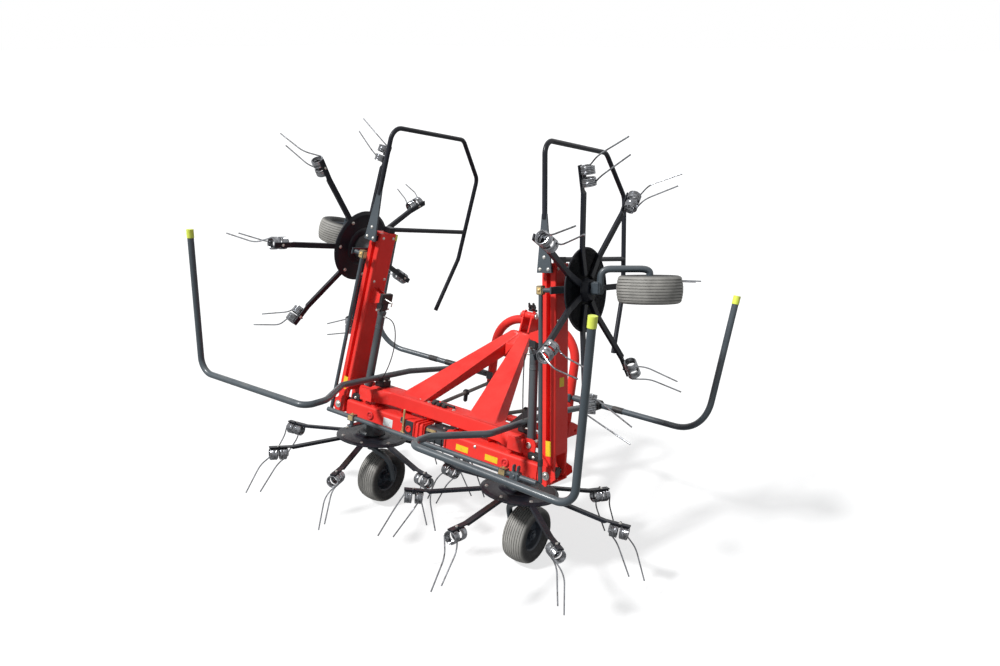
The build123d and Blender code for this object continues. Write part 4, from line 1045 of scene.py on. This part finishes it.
cylinder_grey = enamel("cylinder_enamel", (0.085, 0.1, 0.108), (0.06, 0.072, 0.08), 0.35, dust=0.15,
                       wear=0.3)
dress(cylinder_grey, "cylinder_barrel_right", "cylinder_barrel_left")
chrome = Finish("chromed_rod", (0.62, 0.62, 0.64), 0.12, metallic=1.0)
chrome.uneven_gloss(70.0, 0.08, 0.28, low=0.4)
dress(chrome.material, "cylinder_rod_right", "cylinder_rod_left")
hose = Finish("hose_rubber", (0.012, 0.012, 0.013), 0.5)
hose.uneven_gloss(40.0, 0.4, 0.65)
hose.mottle(22.0, 0.5, 0.8, (0.012, 0.012, 0.013), (0.035, 0.034, 0.033), detail=3.0)


def hose_line(name, path):
    """A smooth curve along points, as thick as the hose."""
    curve = bpy.data.curves.new(name, "CURVE")
    curve.dimensions = "3D"
    curve.bevel_depth = HOSE_R
    curve.bevel_resolution = 4
    curve.resolution_u = 12
    line = curve.splines.new("NURBS")
    line.points.add(len(path) - 1)
    for point, place in zip(line.points, path):
        point.co = (*place, 1.0)
    line.use_endpoint_u = True
    line.order_u = 3
    curve.materials.append(hose.material)
    return add_object(name, curve)


for side, hand in HANDS:
    foot, head = sided(side, CYLINDER_FOOT), sided(side, CYLINDER_HEAD)
    lean = (head - foot).normalized()
    inward = (ACROSS * -side - lean * lean.dot(ACROSS * -side)).normalized()
    axes = (inward, AHEAD, lean)
    sleeve = bmesh.new()
    turned(sleeve, foot, lean, GLAND, 28)
    turned(sleeve, foot, lean, GLAND_RING, 28)
    piece("cylinder_gland_" + hand, sleeve, cylinder_grey, "barrel_" + hand)
    valve = bmesh.new()
    block(valve, foot + lean * VALVE_AT - inward * VALVE_OUT, VALVE_SIZE, axes)
    if hand == "left":
        second = foot + lean * SECOND_VALVE_AT + inward * SECOND_VALVE_IN
        block(valve, second, SECOND_VALVE_SIZE, axes)
    piece("valve_block_" + hand, valve, dark_plastic, "piston_" + hand)
    unions = bmesh.new()
    seat = foot + lean * UNION_AT
    for y in UNION_YS:
        rod(unions, seat + AHEAD * (y - UNION_REACH), seat + AHEAD * (y + UNION_REACH), UNION_R)
    if hand == "left":
        bends = [foot + lean * u + inward * w + AHEAD * y for u, w, y in WIRE_LEVER]
        for start, end, radius in zip(bends, bends[1:], WIRE_LEVER_RS):
            rod(unions, start, end, radius)
    piece("valve_unions_" + hand, unions, zinc, "piston_" + hand)
    # The thin hose leaves the gland's stub square to the barrel, bows out and down
    # under its own weight and comes back square to the stub at the barrel's foot.
    stubs = bmesh.new()
    low, high = (foot + lean * at + inward * STUB_SEAT for at in (STUB_LOW, STUB_HIGH))
    for place in (low, high):
        rod(stubs, *(place + inward * reach for reach in STUB_REACH), STUB_R)
    piece("hose_stubs_" + hand, stubs, zinc, "barrel_" + hand)
    ends, bow = {"low": low, "high": high}, HOSE_BOW[hand]
    path = [ends[end] + inward * (out + bow * share) + lean * along + AHEAD * y
            for end, out, share, along, y in HOSE_PATH]
    made = hose_line("barrel_hose_" + hand, path)
    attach(made, "barrel_" + hand)

# Hoops of black tube that guard the folded tines: a tapered slate plate is welded
# to each and bolted across the end of its arm with zinc-plated bolts.
HOOP_PLATE = ((1.303, 0.053), (1.67, 0.018), (1.67, -0.018), (1.303, -0.053))
HOOP_PLATE_DEPTH = (-0.1568, -0.1432)
HOOP_BOLTS = ((1.325, 0.03), (1.325, -0.03), (1.4, 0.0))
HOOP_BOLT_Y = -0.157
ARM_BOLTS = ((1.33, -0.07), (1.33, 0.035), (1.0, -0.075), (1.015, 0.03))
ARM_HALF = 0.0525
dress(black, "hoop_right", "hoop_left")
for side, hand in HANDS:
    top = arm_axes(side)[2]
    plates = bmesh.new()
    plate_of(plates, HOOP_PLATE, *HOOP_PLATE_DEPTH, partial(arm_spot, side))
    piece("hoop_plate_" + hand, plates, slate, "arm_" + hand)
    bolts = bmesh.new()
    for u, v in HOOP_BOLTS:
        bolt(bolts, arm_spot(side, u, HOOP_BOLT_Y, v), -AHEAD, SMALL_BOLT)
    for u, y in ARM_BOLTS:
        bolt(bolts, arm_spot(side, u, y, ARM_HALF), top, SMALL_BOLT)
        bolt(bolts, arm_spot(side, u, y, -ARM_HALF), -top, SMALL_BOLT)
    piece("hoop_bolts_" + hand, bolts, zinc, "arm_" + hand)

# Steering rod across the back: a slate tube with a yellow pin block over each
# inner column and a grey fork on the right for the setting lever.
ROD_N = 0.176
ROD_BLOCK = (0.0575, 0.048, 0.048)
ROD_BOLT_N = 0.2
FORK_X = 0.785
FORK_SIZE = (0.07, 0.05, 0.052)
PRONG_XS = (0.765, 0.8)
PRONG_N = 0.222
PRONG_SIZE = (0.016, 0.03, 0.05)
FORK_BOLT = 0.01
blocks = bmesh.new()
for side in (-1, 1):
    block(blocks, spot(side * HUB_X, ROD_Y, ROD_N), ROD_BLOCK, DECK)
    bolt(blocks, spot(side * HUB_X, ROD_Y, ROD_BOLT_N), SQUARE, SMALL_BOLT)
piece("steering_blocks", blocks, gold, "rod")
fork = bmesh.new()
block(fork, spot(FORK_X, ROD_Y, ROD_N), FORK_SIZE, DECK)
for x in PRONG_XS:
    block(fork, spot(x, ROD_Y, PRONG_N), PRONG_SIZE, DECK, soft=0.3)
bolt(fork, spot(FORK_X, ROD_Y - FORK_SIZE[1] / 2, ROD_N), -AHEAD, FORK_BOLT)
piece("steering_fork", fork, slate, "rod")

# Tie rods along the arms: a yellow pin block over each outer column and a black
# band round the rod near the hinge.
TIE_BLOCK = (0.058, 0.046, 0.046)
TIE_BOLT_Y = -0.2175
TIE_BAND = (0.08, 0.125)
TIE_BAND_R = 0.0175
for side, hand in HANDS:
    strap = bmesh.new()
    block(strap, arm_spot(side, ARM_U, TIE_Y, 0.0), TIE_BLOCK, arm_axes(side), soft=0.15)
    bolt(strap, arm_spot(side, ARM_U, TIE_BOLT_Y, 0.0), -AHEAD, SMALL_BOLT)
    piece("tie_block_" + hand, strap, gold, "tie_" + hand)
    band = bmesh.new()
    start, end = (arm_spot(side, u, TIE_Y, 0.0) for u in TIE_BAND)
    rod(band, start, end, TIE_BAND_R, sides=20, lip=0.1)
    piece("tie_band_" + hand, band, dark_plastic, "tie_" + hand)

# Parking stand: a square slate leg on a plate foot, pinned in its sleeve.
dress(slate, "parking_stand")

# Studio: a pale floor that stays white behind the machine, an even dim sky, and
# one sun from behind the machine's left, as it falls on the machine in the yard.
FLOOR_GREY = (0.32, 0.32, 0.32)
FLOOR_GLOW = (0.72, 0.72, 0.72)
FLOOR_SIZE = 400
SUN_FROM = (-0.42, -0.72, 0.95)
SUN_STRENGTH = 3.9
SUN_SPREAD = 0.12
SKY_COLOUR = (0.9, 0.95, 1.0, 1.0)
SKY_STRENGTH = 0.24
CAMERA_PLACE = (3.414, -4.214, 3.491)
CAMERA_BACK = (0.5477, -0.7636, 0.3420)
LENS = 29.54
SENSOR = 36.0


def facing_from(direction):
    """The turn of a lamp or camera whose back points along a direction."""
    return Vector(direction).to_track_quat("Z", "Y").to_euler()


floor_finish = Finish("pale_floor", FLOOR_GREY, 0.8)
floor_finish.uneven_gloss(6.0, 0.76, 0.84, detail=2.0, low=0.2)
camera_ray = floor_finish.node("ShaderNodeLightPath", out="Is Camera Ray")
floor_finish.put(floor_finish.blend(camera_ray, (0.0, 0.0, 0.0), FLOOR_GLOW), "Emission Color")
floor_finish.put(1.0, "Emission Strength")
bpy.ops.mesh.primitive_plane_add(size=FLOOR_SIZE, location=(0, 0, 0))
floor = bpy.context.object
floor.name = "studio_floor"
floor.data.materials.append(floor_finish.material)

world = bpy.data.worlds.new("studio_air")
bpy.context.scene.world = world
world.use_nodes = True
nodes, links = world.node_tree.nodes, world.node_tree.links
sky = nodes["Background"]
sky.inputs["Color"].default_value = SKY_COLOUR
sky.inputs["Strength"].default_value = SKY_STRENGTH
white = nodes.new("ShaderNodeBackground")
white.inputs["Color"].default_value = (1.0, 1.0, 1.0, 1.0)
white.inputs["Strength"].default_value = 1.0
rays = nodes.new("ShaderNodeLightPath")
clear = rays.outputs["Is Camera Ray"]
for kind in ("Is Glossy Ray", "Is Transmission Ray"):
    either = nodes.new("ShaderNodeMath")
    either.operation = "MAXIMUM"
    links.new(clear, either.inputs[0])
    links.new(rays.outputs[kind], either.inputs[1])
    clear = either.outputs[0]
both = nodes.new("ShaderNodeMixShader")
links.new(clear, both.inputs[0])
links.new(sky.outputs[0], both.inputs[1])
links.new(white.outputs[0], both.inputs[2])
links.new(both.outputs[0], nodes["World Output"].inputs["Surface"])

sun = bpy.data.lights.new("sun", "SUN")
sun.energy = SUN_STRENGTH
sun.angle = SUN_SPREAD
add_object("sun", sun).rotation_euler = facing_from(SUN_FROM)

camera = bpy.data.cameras.new("view")
camera.lens = LENS
camera.sensor_width = SENSOR
camera_holder = add_object("view", camera)
camera_holder.location = CAMERA_PLACE
camera_holder.rotation_euler = facing_from(CAMERA_BACK)
bpy.context.scene.camera = camera_holder
bpy.context.scene.view_settings.view_transform = "Standard"
